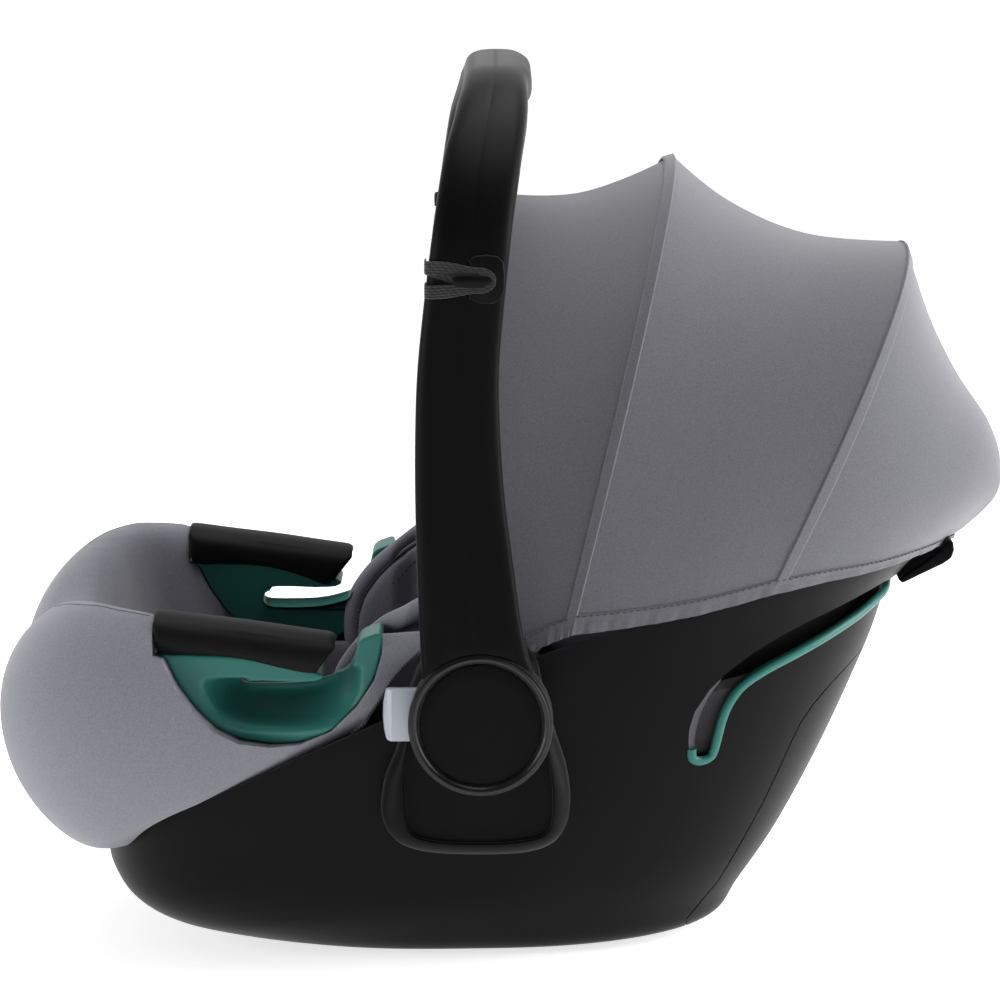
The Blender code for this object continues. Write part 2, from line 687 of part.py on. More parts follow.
def make_harness():
    for side, tag in ((-1, "left"), (1, "right")):
        y = side * 0.036
        strap = [(0.134, y, 0.137), (0.105, y, 0.148), (0.060, y, 0.152), (0.010, y, 0.148),
                 (-0.030, y, 0.141)]
        ribbon("shoulder_strap_" + tag, strap, 0.026, 0.0016, "webbing")
        pad = [(0.128, y, 0.146), (0.104, y, 0.155), (0.060, y, 0.159), (0.020, y, 0.156)]
        ribbon("shoulder_pad_" + tag, pad, 0.050, 0.010, "fabric")

    body = block("buckle_body", (-0.076, -0.030, 0.118), (-0.034, 0.030, 0.136), "pad")
    bevel(body, 0.004, 2)
    pocket = block("buckle_pocket", (-0.068, -0.0125, 0.1300), (-0.042, 0.0125, 0.1400), None, cutters)
    cut(body, pocket)
    button = block("buckle_button", (-0.0675, -0.0120, 0.1335), (-0.0425, 0.0120, 0.1385), "red")
    bevel(button, 0.0012, 1)
    strap = [(-0.055, 0.0, 0.1170), (-0.060, 0.0, 0.092), (-0.072, 0.0, 0.062), (-0.084, 0.0, 0.0345)]
    ribbon("crotch_strap", strap, 0.036, 0.0018, "webbing")
    pad = [(-0.0635, 0.0, 0.1120), (-0.0685, 0.0, 0.089), (-0.080, 0.0, 0.060), (-0.091, 0.0, 0.038)]
    ribbon("crotch_pad", pad, 0.054, 0.0090, "fabric")

    housing = block("adjuster_housing", (-0.172, -0.018, 0.0470), (-0.140, 0.018, 0.0545), "pad")
    bevel(housing, 0.002, 1)
    well = block("adjuster_well", (-0.166, -0.0095, 0.0500), (-0.146, 0.0095, 0.0600), None, cutters)
    cut(housing, well)
    block("adjuster_button", (-0.1655, -0.0090, 0.0525), (-0.1465, 0.0090, 0.0575), "button")
    strap = [(-0.1735, 0.0, 0.0505), (-0.190, 0.0, 0.058), (-0.206, 0.0, 0.071), (-0.220, 0.0, 0.088)]
    ribbon("adjuster_strap", strap, 0.026, 0.0016, "webbing")


def make_lever():
    outline = [(0.2650, 0.2405), (0.2665, 0.2370), (0.2950, 0.2520), (0.3020, 0.2590), (0.3015, 0.2675),
               (0.2985, 0.2675), (0.2925, 0.2605)]
    lever = prism("release_lever", outline, -0.055, 0.055, "shell")
    bevel(lever, 0.0006, 1)


clear_scene()
parts = new_collection("infant_car_seat")
cutters = new_collection("cutters")
make_shell()
make_slot_trim()
bowl_envelope()
make_handle()
for hand, label in ((-1, "left"), (1, "right")):
    make_hub(hand, label)
    make_canopy_loop(hand, label)
    make_guide(hand, label)
make_cover()
make_padding()
make_canopy()
make_headrest()
make_harness()
make_lever()
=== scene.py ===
import json
import math

import bmesh
import bpy
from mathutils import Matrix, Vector

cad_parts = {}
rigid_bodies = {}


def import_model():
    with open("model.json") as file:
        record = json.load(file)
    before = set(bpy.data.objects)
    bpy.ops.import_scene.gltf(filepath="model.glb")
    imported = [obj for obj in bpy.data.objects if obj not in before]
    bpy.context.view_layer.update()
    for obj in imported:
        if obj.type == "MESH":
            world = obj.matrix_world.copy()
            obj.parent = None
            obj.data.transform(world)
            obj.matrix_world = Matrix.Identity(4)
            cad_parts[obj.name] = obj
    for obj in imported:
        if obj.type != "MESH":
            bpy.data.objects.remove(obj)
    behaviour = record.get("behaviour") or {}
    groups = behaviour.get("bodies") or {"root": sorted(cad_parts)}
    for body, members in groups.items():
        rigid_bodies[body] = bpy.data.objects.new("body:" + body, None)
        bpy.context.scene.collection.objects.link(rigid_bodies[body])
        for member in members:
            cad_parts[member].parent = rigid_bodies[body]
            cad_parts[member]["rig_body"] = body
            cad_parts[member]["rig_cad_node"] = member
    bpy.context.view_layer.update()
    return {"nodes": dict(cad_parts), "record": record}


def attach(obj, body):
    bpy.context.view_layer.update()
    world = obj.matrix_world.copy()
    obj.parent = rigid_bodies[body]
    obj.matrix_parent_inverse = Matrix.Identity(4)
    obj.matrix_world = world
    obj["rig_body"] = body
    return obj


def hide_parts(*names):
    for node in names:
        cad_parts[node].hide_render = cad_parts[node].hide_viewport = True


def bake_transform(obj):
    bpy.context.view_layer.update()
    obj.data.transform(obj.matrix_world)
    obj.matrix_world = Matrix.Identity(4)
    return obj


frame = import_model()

print("frame loaded:", len(frame["nodes"]), "nodes")
sides = (("left", -1), ("right", 1))
hub = Vector((-0.019, 0.0, 0.18))


# ---- small helpers

def deselectAll():
    if bpy.context.object and bpy.context.object.mode != "OBJECT":
        bpy.ops.object.mode_set(mode="OBJECT")
    bpy.ops.object.select_all(action="DESELECT")


def pick(piece):
    deselectAll()
    piece.select_set(True)
    bpy.context.view_layer.objects.active = piece


def inEdit(piece, *steps):
    pick(piece)
    bpy.ops.object.mode_set(mode="EDIT")
    bpy.ops.mesh.select_all(action="SELECT")
    for step in steps:
        step()
    bpy.ops.object.mode_set(mode="OBJECT")


def mergeDoubles(piece, distance=0.00002):
    inEdit(piece, lambda: bpy.ops.mesh.remove_doubles(threshold=distance))


def faceOut(piece):
    inEdit(piece, lambda: bpy.ops.mesh.normals_make_consistent(inside=False))


def flipAll(piece):
    inEdit(piece, lambda: bpy.ops.mesh.flip_normals())


def faceSide(piece, side):
    # the outer face of an open skin looks towards its own side of the object
    faceOut(piece)
    if sum(f.normal.y * side for f in piece.data.polygons) < 0:
        flipAll(piece)


def applyMod(piece, kind, **settings):
    pick(piece)
    mod = piece.modifiers.new(kind.lower(), kind)
    for key, value in settings.items():
        setattr(mod, key, value)
    bpy.ops.object.modifier_apply(modifier=mod.name)


def thicken(piece, thick, offset=-1):
    applyMod(piece, "SOLIDIFY", thickness=thick, offset=offset, use_even_offset=True)


def roundEdges(piece, width, segments=3, angle=40):
    applyMod(piece, "BEVEL", width=width, segments=segments, limit_method="ANGLE",
             angle_limit=math.radians(angle))


def smoother(piece, levels=1):
    applyMod(piece, "SUBSURF", levels=levels, render_levels=levels)


def cutWith(piece, cutter, how="DIFFERENCE"):
    applyMod(piece, "BOOLEAN", object=cutter, operation=how, solver="EXACT")
    bpy.data.objects.remove(cutter, do_unlink=True)


def shadeSmooth(piece, angle=35):
    pick(piece)
    bpy.ops.object.shade_smooth_by_angle(angle=math.radians(angle))


def settle(piece):
    # leaves the piece at the origin with its place in its mesh
    pick(piece)
    bpy.ops.object.transform_apply(location=True, rotation=True, scale=True)


def namePiece(name):
    piece = bpy.context.object
    piece.name = name
    piece.data.name = name
    return piece


def onGrid(name, across, along, place):
    # a grid primitive whose corners are laid on the piece's own surface
    deselectAll()
    bpy.ops.mesh.primitive_grid_add(x_subdivisions=across, y_subdivisions=along, size=2)
    piece = namePiece(name)
    for v in piece.data.vertices:
        v.co = place((v.co.x + 1) / 2, (v.co.y + 1) / 2)
    mergeDoubles(piece)
    return piece


def outlinePrism(name, outline, yNear, yFar):
    # a flat outline in the side view, given its width across the object
    deselectAll()
    bpy.ops.mesh.primitive_circle_add(vertices=len(outline), radius=1, fill_type="NGON")
    piece = namePiece(name)
    for v, (x, z) in zip(piece.data.vertices, outline):
        v.co = (x, yNear, z)

    def pull():
        bpy.ops.mesh.extrude_region_move(TRANSFORM_OT_translate={"value": (0, yFar - yNear, 0)})
        bpy.ops.mesh.select_all(action="SELECT")
        bpy.ops.mesh.normals_make_consistent(inside=False)
    inEdit(piece, pull)
    return piece


def spunRing(name, profile, side, steps):
    # profile points are (radius, distance from the middle), turned about the hub's axis
    deselectAll()
    bpy.ops.mesh.primitive_circle_add(vertices=len(profile), radius=1, fill_type="NOTHING")
    piece = namePiece(name)
    for v, (radius, out) in zip(piece.data.vertices, profile):
        v.co = (hub.x + radius, side * out, hub.z)

    def turn():
        bpy.ops.mesh.spin(steps=steps, angle=math.tau, center=(hub.x, 0, hub.z), axis=(0, 1, 0))
        bpy.ops.mesh.select_all(action="SELECT")
        bpy.ops.mesh.remove_doubles(threshold=0.00002)
        bpy.ops.mesh.normals_make_consistent(inside=False)
    inEdit(piece, turn)
    return piece


def mix(a, b, t):
    return a + (b - a) * t


def smoothstep(t):
    t = min(max(t, 0.0), 1.0)
    return t * t * (3 - 2 * t)


def catmull(rows, t):
    # a smooth row between table rows, t from 0 to 1 over the whole table
    spot = min(max(t, 0.0), 1.0) * (len(rows) - 1)
    i = min(int(spot), len(rows) - 2)
    f = spot - i
    a, b, c, d = rows[max(i - 1, 0)], rows[i], rows[i + 1], rows[min(i + 2, len(rows) - 1)]
    return [0.5 * (2 * q + (r - p) * f + (2 * p - 5 * q + 4 * r - s) * f * f
                   + (3 * q - p - 3 * r + s) * f ** 3) for p, q, r, s in zip(a, b, c, d)]


def smoothLoop(points, count):
    # a closed smooth outline through a few points
    out = []
    n = len(points)
    for k in range(count):
        spot = k / count * n
        i, f = int(spot), spot - int(spot)
        a, b, c, d = points[i - 1], points[i], points[(i + 1) % n], points[(i + 2) % n]
        out.append(tuple(0.5 * (2 * q + (r - p) * f + (2 * p - 5 * q + 4 * r - s) * f * f
                                + (3 * q - p - 3 * r + s) * f ** 3) for p, q, r, s in zip(a, b, c, d)))
    return out


def smoothRun(points, count):
    return [Vector(catmull(points, k / (count - 1))) for k in range(count)]


def evenRun(points, step):
    # points along a line at equal spacing
    out, left = [Vector(points[0])], step
    for a, b in zip(points, points[1:]):
        a, b = Vector(a), Vector(b)
        length = (b - a).length
        at = left
        while at <= length:
            out.append(a.lerp(b, at / length))
            at += step
        left = at - length
    return out


def tubeAlong(name, points, radius, sideCount=10, squash=1.0):
    # a round or flattened piping along a line
    points = [Vector(p) for p in points]
    frames = []
    up = Vector((0.12, 0.99, 0.05))
    for i, p in enumerate(points):
        along = (points[min(i + 1, len(points) - 1)] - points[max(i - 1, 0)]).normalized()
        a = along.cross(up).normalized()
        frames.append((p, a, a.cross(along).normalized()))
        up = frames[-1][2]
    rows = len(points) - 1

    def place(u, w):
        p, a, b = frames[round(w * rows)]
        t = u * math.tau
        return p + a * radius * math.cos(t) + b * radius * squash * math.sin(t)
    piece = onGrid(name, sideCount, rows, place)
    closeEnds(piece)
    return piece


def closeEnds(piece):
    bm = bmesh.new()
    bm.from_mesh(piece.data)
    bmesh.ops.holes_fill(bm, edges=[e for e in bm.edges if e.is_boundary])
    bmesh.ops.recalc_face_normals(bm, faces=bm.faces)
    bm.to_mesh(piece.data)
    bm.free()


def stitchRow(name, points, out, length=0.003, gap=0.0014, radius=0.00042):
    # a sewn line: short thread lengths lying along points, raised on the side of out(p)
    spots = evenRun(points, length + gap)
    bm = bmesh.new()
    for a, b in zip(spots, spots[1:]):
        along = (b - a).normalized()
        up = out((a + b) / 2)
        side = along.cross(up).normalized()
        rows = []
        for f, r in ((0.0, 0.35), (0.25, 1.0), (0.6, 1.0), (0.85, 0.35)):
            mid = a + along * length * f
            rows.append([bm.verts.new(mid + (side * math.cos(t) + up * math.sin(t)) * radius * r)
                         for t in (0, math.tau / 5, 2 * math.tau / 5, 3 * math.tau / 5, 4 * math.tau / 5)])
        for ra, rb in zip(rows, rows[1:]):
            for i in range(5):
                bm.faces.new((ra[i], ra[(i + 1) % 5], rb[(i + 1) % 5], rb[i]))
        bm.faces.new(rows[0])
        bm.faces.new(rows[-1])
    bmesh.ops.recalc_face_normals(bm, faces=bm.faces)
    deselectAll()
    bpy.ops.mesh.primitive_cube_add(size=0.01)
    piece = namePiece(name)
    bm.to_mesh(piece.data)
    bm.free()
    return piece


def wear(piece, material):
    piece.data.materials.clear()
    piece.data.materials.append(material)


def finishPiece(piece, body, slot, material, *nodes):
    settle(piece)
    wear(piece, material)
    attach(piece, body)
    if nodes:
        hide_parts(*nodes)
    return piece


# ---- camera, light and floor

view = {"target": (-0.0066, 0.0, 0.2885), "distance": 2.95, "pitch": 9.67, "lens": 154.95}
pitch = math.radians(view["pitch"])
bpy.ops.object.camera_add()
camera = namePiece("camera")
camera.location = Vector(view["target"]) + Vector((0, -math.cos(pitch), math.sin(pitch))) * view["distance"]
camera.rotation_euler = (math.pi / 2 - pitch, 0, 0)
camera.data.lens = view["lens"]
camera.data.sensor_width = 36
bpy.context.scene.camera = camera

studio = {
    "skyFront": 0.025, "skyBack": 0.8, "floorGlow": 0.72,
    "lamps": {
        "softTop": {"at": (0.25, 0.15, 2.1), "size": 1.6, "watts": 36},
        "rearRight": {"at": (2.1, -0.15, 0.8), "size": 1.5, "watts": 56},
        "frontLeft": {"at": (-2.1, -0.85, 0.5), "size": 1.2, "watts": 24},
        "nearFill": {"at": (0.1, -2.6, 2.0), "size": 1.4, "watts": 1.2},
    },
}


def makeWorld():
    # bright behind and above, dim in front; seen directly it is plain white
    world = bpy.context.scene.world or bpy.data.worlds.new("studio")
    bpy.context.scene.world = world
    world.use_nodes = True
    tree = world.node_tree
    coords = tree.nodes.new("ShaderNodeTexCoord")
    parts = tree.nodes.new("ShaderNodeSeparateXYZ")
    tree.links.new(coords.outputs["Generated"], parts.inputs["Vector"])
    fade = tree.nodes.new("ShaderNodeMapRange")
    fade.interpolation_type = "SMOOTHSTEP"
    tree.links.new(parts.outputs["Y"], fade.inputs["Value"])
    for key, value in (("From Min", -0.5), ("From Max", 0.6), ("To Min", studio["skyFront"]),
                       ("To Max", studio["skyBack"])):
        fade.inputs[key].default_value = value
    rays = tree.nodes.new("ShaderNodeLightPath")
    pickSky = tree.nodes.new("ShaderNodeMath")
    pickSky.operation = "MAXIMUM"
    tree.links.new(fade.outputs["Result"], pickSky.inputs[0])
    tree.links.new(rays.outputs["Is Camera Ray"], pickSky.inputs[1])
    background = tree.nodes["Background"]
    background.inputs["Color"].default_value = (1, 1, 1, 1)
    tree.links.new(pickSky.outputs["Value"], background.inputs["Strength"])


makeWorld()
bpy.context.scene.view_settings.view_transform = "Standard"
for name, spot in studio["lamps"].items():
    bpy.ops.object.light_add(type="AREA", location=spot["at"])
    lamp = namePiece(name)
    lamp.data.size = spot["size"]
    lamp.data.energy = spot["watts"]
    lamp.rotation_euler = (Vector((0, 0, 0.25)) - lamp.location).to_track_quat("-Z", "Y").to_euler()

bpy.ops.mesh.primitive_plane_add(size=60, location=(0, 0, -0.0005))
floor = namePiece("floor")
print("camera, light and floor set")


# ---- materials

def nodeGroup(name, inputs, outputs):
    group = bpy.data.node_groups.new(name, "ShaderNodeTree")
    for label, value in inputs:
        socket = group.interface.new_socket(label, in_out="INPUT", socket_type="NodeSocketFloat")
        socket.default_value = value
    for label in outputs:
        group.interface.new_socket(label, in_out="OUTPUT", socket_type="NodeSocketFloat")
    return group, group.nodes.new("NodeGroupInput"), group.nodes.new("NodeGroupOutput")


def mathNode(tree, how, a, b=None, c=None):
    node = tree.nodes.new("ShaderNodeMath")
    node.operation = how
    for i, value in enumerate((a, b, c)):
        if value is None:
            continue
        if isinstance(value, (int, float)):
            node.inputs[i].default_value = value
        else:
            tree.links.new(value, node.inputs[i])
    return node.outputs[0]


def makeKnit():
    # fine knitted loops: a height and a light and dark mottle
    group, gin, gout = nodeGroup("knitLoops", (("Size", 1500.0), ("Mottle", 260.0)), ("Height", "Mottle"))
    coords = group.nodes.new("ShaderNodeTexCoord")
    loops = group.nodes.new("ShaderNodeTexVoronoi")
    loops.feature = "SMOOTH_F1"
    loops.inputs["Smoothness"].default_value = 0.6
    group.links.new(coords.outputs["Object"], loops.inputs["Vector"])
    group.links.new(gin.outputs["Size"], loops.inputs["Scale"])
    fuzz = group.nodes.new("ShaderNodeTexNoise")
    fuzz.inputs["Detail"].default_value = 3.0
    group.links.new(coords.outputs["Object"], fuzz.inputs["Vector"])
    group.links.new(gin.outputs["Mottle"], fuzz.inputs["Scale"])
    fine = group.nodes.new("ShaderNodeTexNoise")
    fine.inputs["Scale"].default_value = 1400.0
    fine.inputs["Detail"].default_value = 2.0
    group.links.new(coords.outputs["Object"], fine.inputs["Vector"])
    height = mathNode(group, "SUBTRACT", 1.0, loops.outputs["Distance"])
    both = mathNode(group, "ADD", mathNode(group, "MULTIPLY", fuzz.outputs["Fac"], 0.45),
                    mathNode(group, "MULTIPLY", fine.outputs["Fac"], 0.55))
    group.links.new(height, gout.inputs["Height"])
    group.links.new(both, gout.inputs["Mottle"])
    return group


def makeGrain():
    # the fine spark-eroded grain of moulded plastic, and slow patches in its gloss
    group, gin, gout = nodeGroup("mouldedGrain", (("Size", 1800.0), ("Patches", 9.0)), ("Height", "Patch"))
    coords = group.nodes.new("ShaderNodeTexCoord")
    grain = group.nodes.new("ShaderNodeTexNoise")
    grain.inputs["Detail"].default_value = 2.0
    group.links.new(coords.outputs["Object"], grain.inputs["Vector"])
    group.links.new(gin.outputs["Size"], grain.inputs["Scale"])
    patch = group.nodes.new("ShaderNodeTexNoise")
    patch.inputs["Detail"].default_value = 3.0
    group.links.new(coords.outputs["Object"], patch.inputs["Vector"])
    group.links.new(gin.outputs["Patches"], patch.inputs["Scale"])
    group.links.new(grain.outputs["Fac"], gout.inputs["Height"])
    group.links.new(patch.outputs["Fac"], gout.inputs["Patch"])
    return group


def makeRibs():
    # parallel cords of woven elastic or webbing, running diagonally
    group, gin, gout = nodeGroup("wovenRibs", (("Size", 260.0), ("Cross", 900.0)), ("Height",))
    coords = group.nodes.new("ShaderNodeTexCoord")
    ribs = group.nodes.new("ShaderNodeTexWave")
    ribs.bands_direction = "DIAGONAL"
    group.links.new(coords.outputs["Object"], ribs.inputs["Vector"])
    group.links.new(gin.outputs["Size"], ribs.inputs["Scale"])
    ribs.inputs["Distortion"].default_value = 0.3
    yarn = group.nodes.new("ShaderNodeTexNoise")
    group.links.new(coords.outputs["Object"], yarn.inputs["Vector"])
    group.links.new(gin.outputs["Cross"], yarn.inputs["Scale"])
    total = mathNode(group, "ADD", mathNode(group, "MULTIPLY", ribs.outputs["Fac"], 0.8),
                     mathNode(group, "MULTIPLY", yarn.outputs["Fac"], 0.4))
    group.links.new(total, gout.inputs["Height"])
    return group


knitLoops, mouldedGrain, wovenRibs = makeKnit(), makeGrain(), makeRibs()


def newMaterial(name):
    material = bpy.data.materials.new(name)
    material.use_nodes = True
    return material, material.node_tree, material.node_tree.nodes["Principled BSDF"]


def placeGroup(tree, group, **values):
    node = tree.nodes.new("ShaderNodeGroup")
    node.node_tree = group
    for key, value in values.items():
        node.inputs[key].default_value = value
    return node


def ramp(tree, source, low, high, lowColor, highColor):
    node = tree.nodes.new("ShaderNodeValToRGB")
    node.color_ramp.elements[0].position = low
    node.color_ramp.elements[0].color = (*lowColor, 1)
    node.color_ramp.elements[1].position = high
    node.color_ramp.elements[1].color = (*highColor, 1)
    tree.links.new(source, node.inputs["Fac"])
    return node.outputs["Color"]


def span(tree, source, low, high, toLow, toHigh):
    node = tree.nodes.new("ShaderNodeMapRange")
    tree.links.new(source, node.inputs["Value"])
    for key, value in (("From Min", low), ("From Max", high), ("To Min", toLow), ("To Max", toHigh)):
        node.inputs[key].default_value = value
    return node.outputs["Result"]


def bumpFrom(tree, shader, height, strength, distance):
    bump = tree.nodes.new("ShaderNodeBump")
    bump.inputs["Strength"].default_value = strength
    bump.inputs["Distance"].default_value = distance
    tree.links.new(height, bump.inputs["Height"])
    tree.links.new(bump.outputs["Normal"], shader.inputs["Normal"])


def fabricMaterial(name, dark, light, loops=1500.0, mottle=800.0, bump=0.3, sheen=0.3):
    material, tree, shader = newMaterial(name)
    knit = placeGroup(tree, knitLoops, Size=loops, Mottle=mottle)
    tree.links.new(ramp(tree, knit.outputs["Mottle"], 0.36, 0.64, dark, light), shader.inputs["Base Color"])
    shader.inputs["Roughness"].default_value = 0.92
    shader.inputs["Sheen Weight"].default_value = sheen
    shader.inputs["Sheen Roughness"].default_value = 0.45
    shader.inputs["Specular IOR Level"].default_value = 0.25
    bumpFrom(tree, shader, knit.outputs["Height"], bump, 0.0004)
    return material


def plasticMaterial(name, dark, light, rough=0.42, grain=1800.0, bump=0.08, gloss=0.06, sheen=0.14):
    material, tree, shader = newMaterial(name)
    skin = placeGroup(tree, mouldedGrain, Size=grain, Patches=9.0)
    tree.links.new(ramp(tree, skin.outputs["Patch"], 0.3, 0.7, dark, light), shader.inputs["Base Color"])
    tree.links.new(span(tree, skin.outputs["Patch"], 0.3, 0.7, rough - 0.03, rough + 0.03),
                   shader.inputs["Roughness"])
    shader.inputs["Specular IOR Level"].default_value = gloss
    shader.inputs["Sheen Weight"].default_value = sheen
    shader.inputs["Sheen Roughness"].default_value = 0.3
    bumpFrom(tree, shader, skin.outputs["Height"], bump, 0.0002)
    return material


def wovenMaterial(name, dark, light, size=260.0, cross=900.0, bump=0.6):
    material, tree, shader = newMaterial(name)
    cords = placeGroup(tree, wovenRibs, Size=size, Cross=cross)
    tree.links.new(ramp(tree, cords.outputs["Height"], 0.3, 0.9, dark, light), shader.inputs["Base Color"])
    shader.inputs["Roughness"].default_value = 0.8
    shader.inputs["Sheen Weight"].default_value = 0.15
    bumpFrom(tree, shader, cords.outputs["Height"], bump, 0.0005)
    return material


def metalMaterial(name, color, rough):
    material, tree, shader = newMaterial(name)
    skin = placeGroup(tree, mouldedGrain, Size=900.0, Patches=40.0)
    tree.links.new(ramp(tree, skin.outputs["Patch"], 0.3, 0.7, [c * 0.85 for c in color], color),
                   shader.inputs["Base Color"])
    shader.inputs["Metallic"].default_value = 1.0
    tree.links.new(span(tree, skin.outputs["Patch"], 0.3, 0.7, rough - 0.06, rough + 0.06),
                   shader.inputs["Roughness"])
    bumpFrom(tree, shader, skin.outputs["Height"], 0.05, 0.0002)
    return material


shellPlastic = plasticMaterial("shellPlastic", (0.0026, 0.0026, 0.0028), (0.0036, 0.0036, 0.0038), rough=0.46)
handlePlastic = plasticMaterial("handlePlastic", (0.0024, 0.0024, 0.0025), (0.0033, 0.0033, 0.0034),
                                gloss=0.045)
capPlastic = plasticMaterial("capPlastic", (0.0028, 0.0028, 0.003), (0.0036, 0.0036, 0.0038), rough=0.55)
bowPlastic = plasticMaterial("bowPlastic", (0.01, 0.01, 0.011), (0.014, 0.014, 0.015), rough=0.38)
greenPlastic = plasticMaterial("greenPlastic", (0.018, 0.12, 0.102), (0.023, 0.136, 0.116), rough=0.36,
                               gloss=0.24, sheen=0.08)
greyTrim = plasticMaterial("greyTrim", (0.06, 0.06, 0.066), (0.075, 0.075, 0.082), rough=0.5)
ringPlastic = plasticMaterial("ringPlastic", (0.0045, 0.0045, 0.0046), (0.0065, 0.0065, 0.0066), rough=0.3,
                              gloss=0.28)
pegPlastic = plasticMaterial("pegPlastic", (0.003, 0.003, 0.0032), (0.0045, 0.0045, 0.0048), rough=0.35)
buttonPlastic = plasticMaterial("buttonPlastic", (0.31, 0.335, 0.385), (0.34, 0.365, 0.415), rough=0.34,
                                gloss=0.4, sheen=0.05)
buckleRed = plasticMaterial("buckleRed", (0.4, 0.012, 0.012), (0.46, 0.016, 0.016), rough=0.25)
softPad = plasticMaterial("softPad", (0.0032, 0.0032, 0.0034), (0.0045, 0.0045, 0.0047), rough=0.55,
                          grain=1100.0, bump=0.16, gloss=0.09, sheen=0.05)
coverFabric = fabricMaterial("coverFabric", (0.15, 0.15, 0.176), (0.205, 0.205, 0.236))
canopyFabric = fabricMaterial("canopyFabric", (0.094, 0.094, 0.107), (0.128, 0.128, 0.144), bump=0.3)
threadFabric = fabricMaterial("sewingThread", (0.03, 0.03, 0.035), (0.048, 0.048, 0.055), bump=0.2,
                              sheen=0.1)
# the foam liner's fabric is made far darker than the cover: painted shade, the fabric as it looks in the
# shade inside the seat
shadedLiningFabric = fabricMaterial("shadedLiningFabric", (0.015, 0.015, 0.017), (0.022, 0.022, 0.025))
seamFabric = fabricMaterial("seamFabric", (0.092, 0.092, 0.105), (0.125, 0.125, 0.141))
ribBinding = wovenMaterial("ribBinding", (0.04, 0.04, 0.046), (0.17, 0.17, 0.19), size=210.0)
elasticBand = wovenMaterial("elasticBand", (0.006, 0.006, 0.006), (0.016, 0.016, 0.016), size=160.0)
webbing = wovenMaterial("webbing", (0.012, 0.012, 0.014), (0.03, 0.03, 0.034), size=190.0)
steel = metalMaterial("zincSteel", (0.55, 0.55, 0.57), 0.32)
floorPaint = plasticMaterial("floorPaint", (0.86, 0.86, 0.86), (0.88, 0.88, 0.88), rough=0.9, bump=0.0)
floorShader = floorPaint.node_tree.nodes["Principled BSDF"]
floorShader.inputs["Emission Color"].default_value = (1, 1, 1, 1)
floorShader.inputs["Emission Strength"].default_value = studio["floorGlow"]
wear(floor, floorPaint)
print("materials made")


# ---- the bowl

bowl = {
    # from the rim down: front x, z, rear x, z, half width, how soon the side rises
    "levels": [
        (-0.277, 0.079, 0.288, 0.268, 0.189, 1.8),
        (-0.275, 0.068, 0.26, 0.238, 0.188, 1.78),
        (-0.2715, 0.05, 0.245, 0.198, 0.183, 1.72),
        (-0.26, 0.03, 0.2165, 0.132, 0.172, 1.65),
        (-0.239, 0.016, 0.186, 0.072, 0.154, 1.5),
        (-0.205, 0.007, 0.159, 0.03, 0.133, 1.3),
        (-0.16, 0.002, 0.145, 0.009, 0.119, 1.15),
        (-0.106, 0.0, 0.115, 0.002, 0.106, 1.0),
    ],
    "frontSquare": 3.4, "rearSquare": 2.4, "wall": 0.0035, "around": 200, "down": 64, "flatFrom": 0.9,
    # how far the rim dips below the cover, and its own rear height, which the dip is scaled by
    "rimDip": 0.0048, "rimRear": 0.268,
    "slotLow": [(0.1165, 0.152), (0.1185, 0.143), (0.124, 0.139), (0.132, 0.141), (0.136, 0.148),
                (0.141, 0.169), (0.147, 0.182), (0.155, 0.191), (0.169, 0.199), (0.191, 0.208),
                (0.211, 0.216), (0.233, 0.225), (0.248, 0.232)],
    "slotHigh": [(0.248, 0.247), (0.233, 0.2425), (0.216, 0.237), (0.197, 0.231), (0.177, 0.223),
                 (0.158, 0.213), (0.142, 0.202), (0.13, 0.1905), (0.1205, 0.176), (0.117, 0.164)],
    "seam": [(0.12, 0.015), (0.141, 0.042), (0.156, 0.072), (0.169, 0.098), (0.179, 0.121),
             (0.188, 0.143), (0.194, 0.156), (0.202, 0.167), (0.214, 0.179), (0.226, 0.188),
             (0.24, 0.1965), (0.27, 0.208)],
    "seamGap": 0.0009, "innerWall": {"down": 0.55, "inward": 0.015, "start": 0.075, "thick": 0.0015},
    # the green edge where it turns round the back, and the slot's front end wall
    "rimTurn": [(0.253, -0.052, 0.236), (0.2568, -0.026, 0.2384), (0.258, 0.0, 0.239)],
    "rimRadius": 0.0034, "slotDepth": 0.0135,
    "endOuter": [(0.1172, 0.148), (0.1164, 0.156), (0.1172, 0.166), (0.1208, 0.1775), (0.13, 0.1915),
                 (0.14, 0.201)],
    "endInner": [(0.124, 0.144), (0.1235, 0.154), (0.1255, 0.165), (0.129, 0.176), (0.1345, 0.188),
                 (0.1402, 0.199)],
}


def levelHeight(level, x):
    t = min(max((x - level[0]) / (level[2] - level[0]), 0.0), 1.0)
    dip = bowl["rimDip"] * smoothstep((x + 0.26) / 0.06) * (1 - smoothstep((x + 0.09) / 0.06))
    return level[1] + (level[3] - level[1]) * (1 - (1 - t) ** level[5]) - dip * level[3] / bowl["rimRear"]


def bowlPoint(around, down):
    # around from 0 at the head end, down from the rim to the middle of the base
    flat = bowl["flatFrom"]
    level = catmull(bowl["levels"], min(down / flat, 1.0))
    shrink = 1.0 if down <= flat else (1 - down) / (1 - flat)
    a = math.tau * around
    c, s = math.cos(a), math.sin(a)
    square = bowl["frontSquare"] if c < 0 else bowl["rearSquare"]
    reach = hub.x - level[0] if c < 0 else level[2] - hub.x
    x = hub.x + math.copysign(reach * abs(c) ** (2 / square), c)
    y = math.copysign(level[4] * abs(s) ** (2 / square), s)
    z = max(levelHeight(level, x), 0.0)
    return Vector((hub.x + (x - hub.x) * shrink, y * shrink, z * shrink))


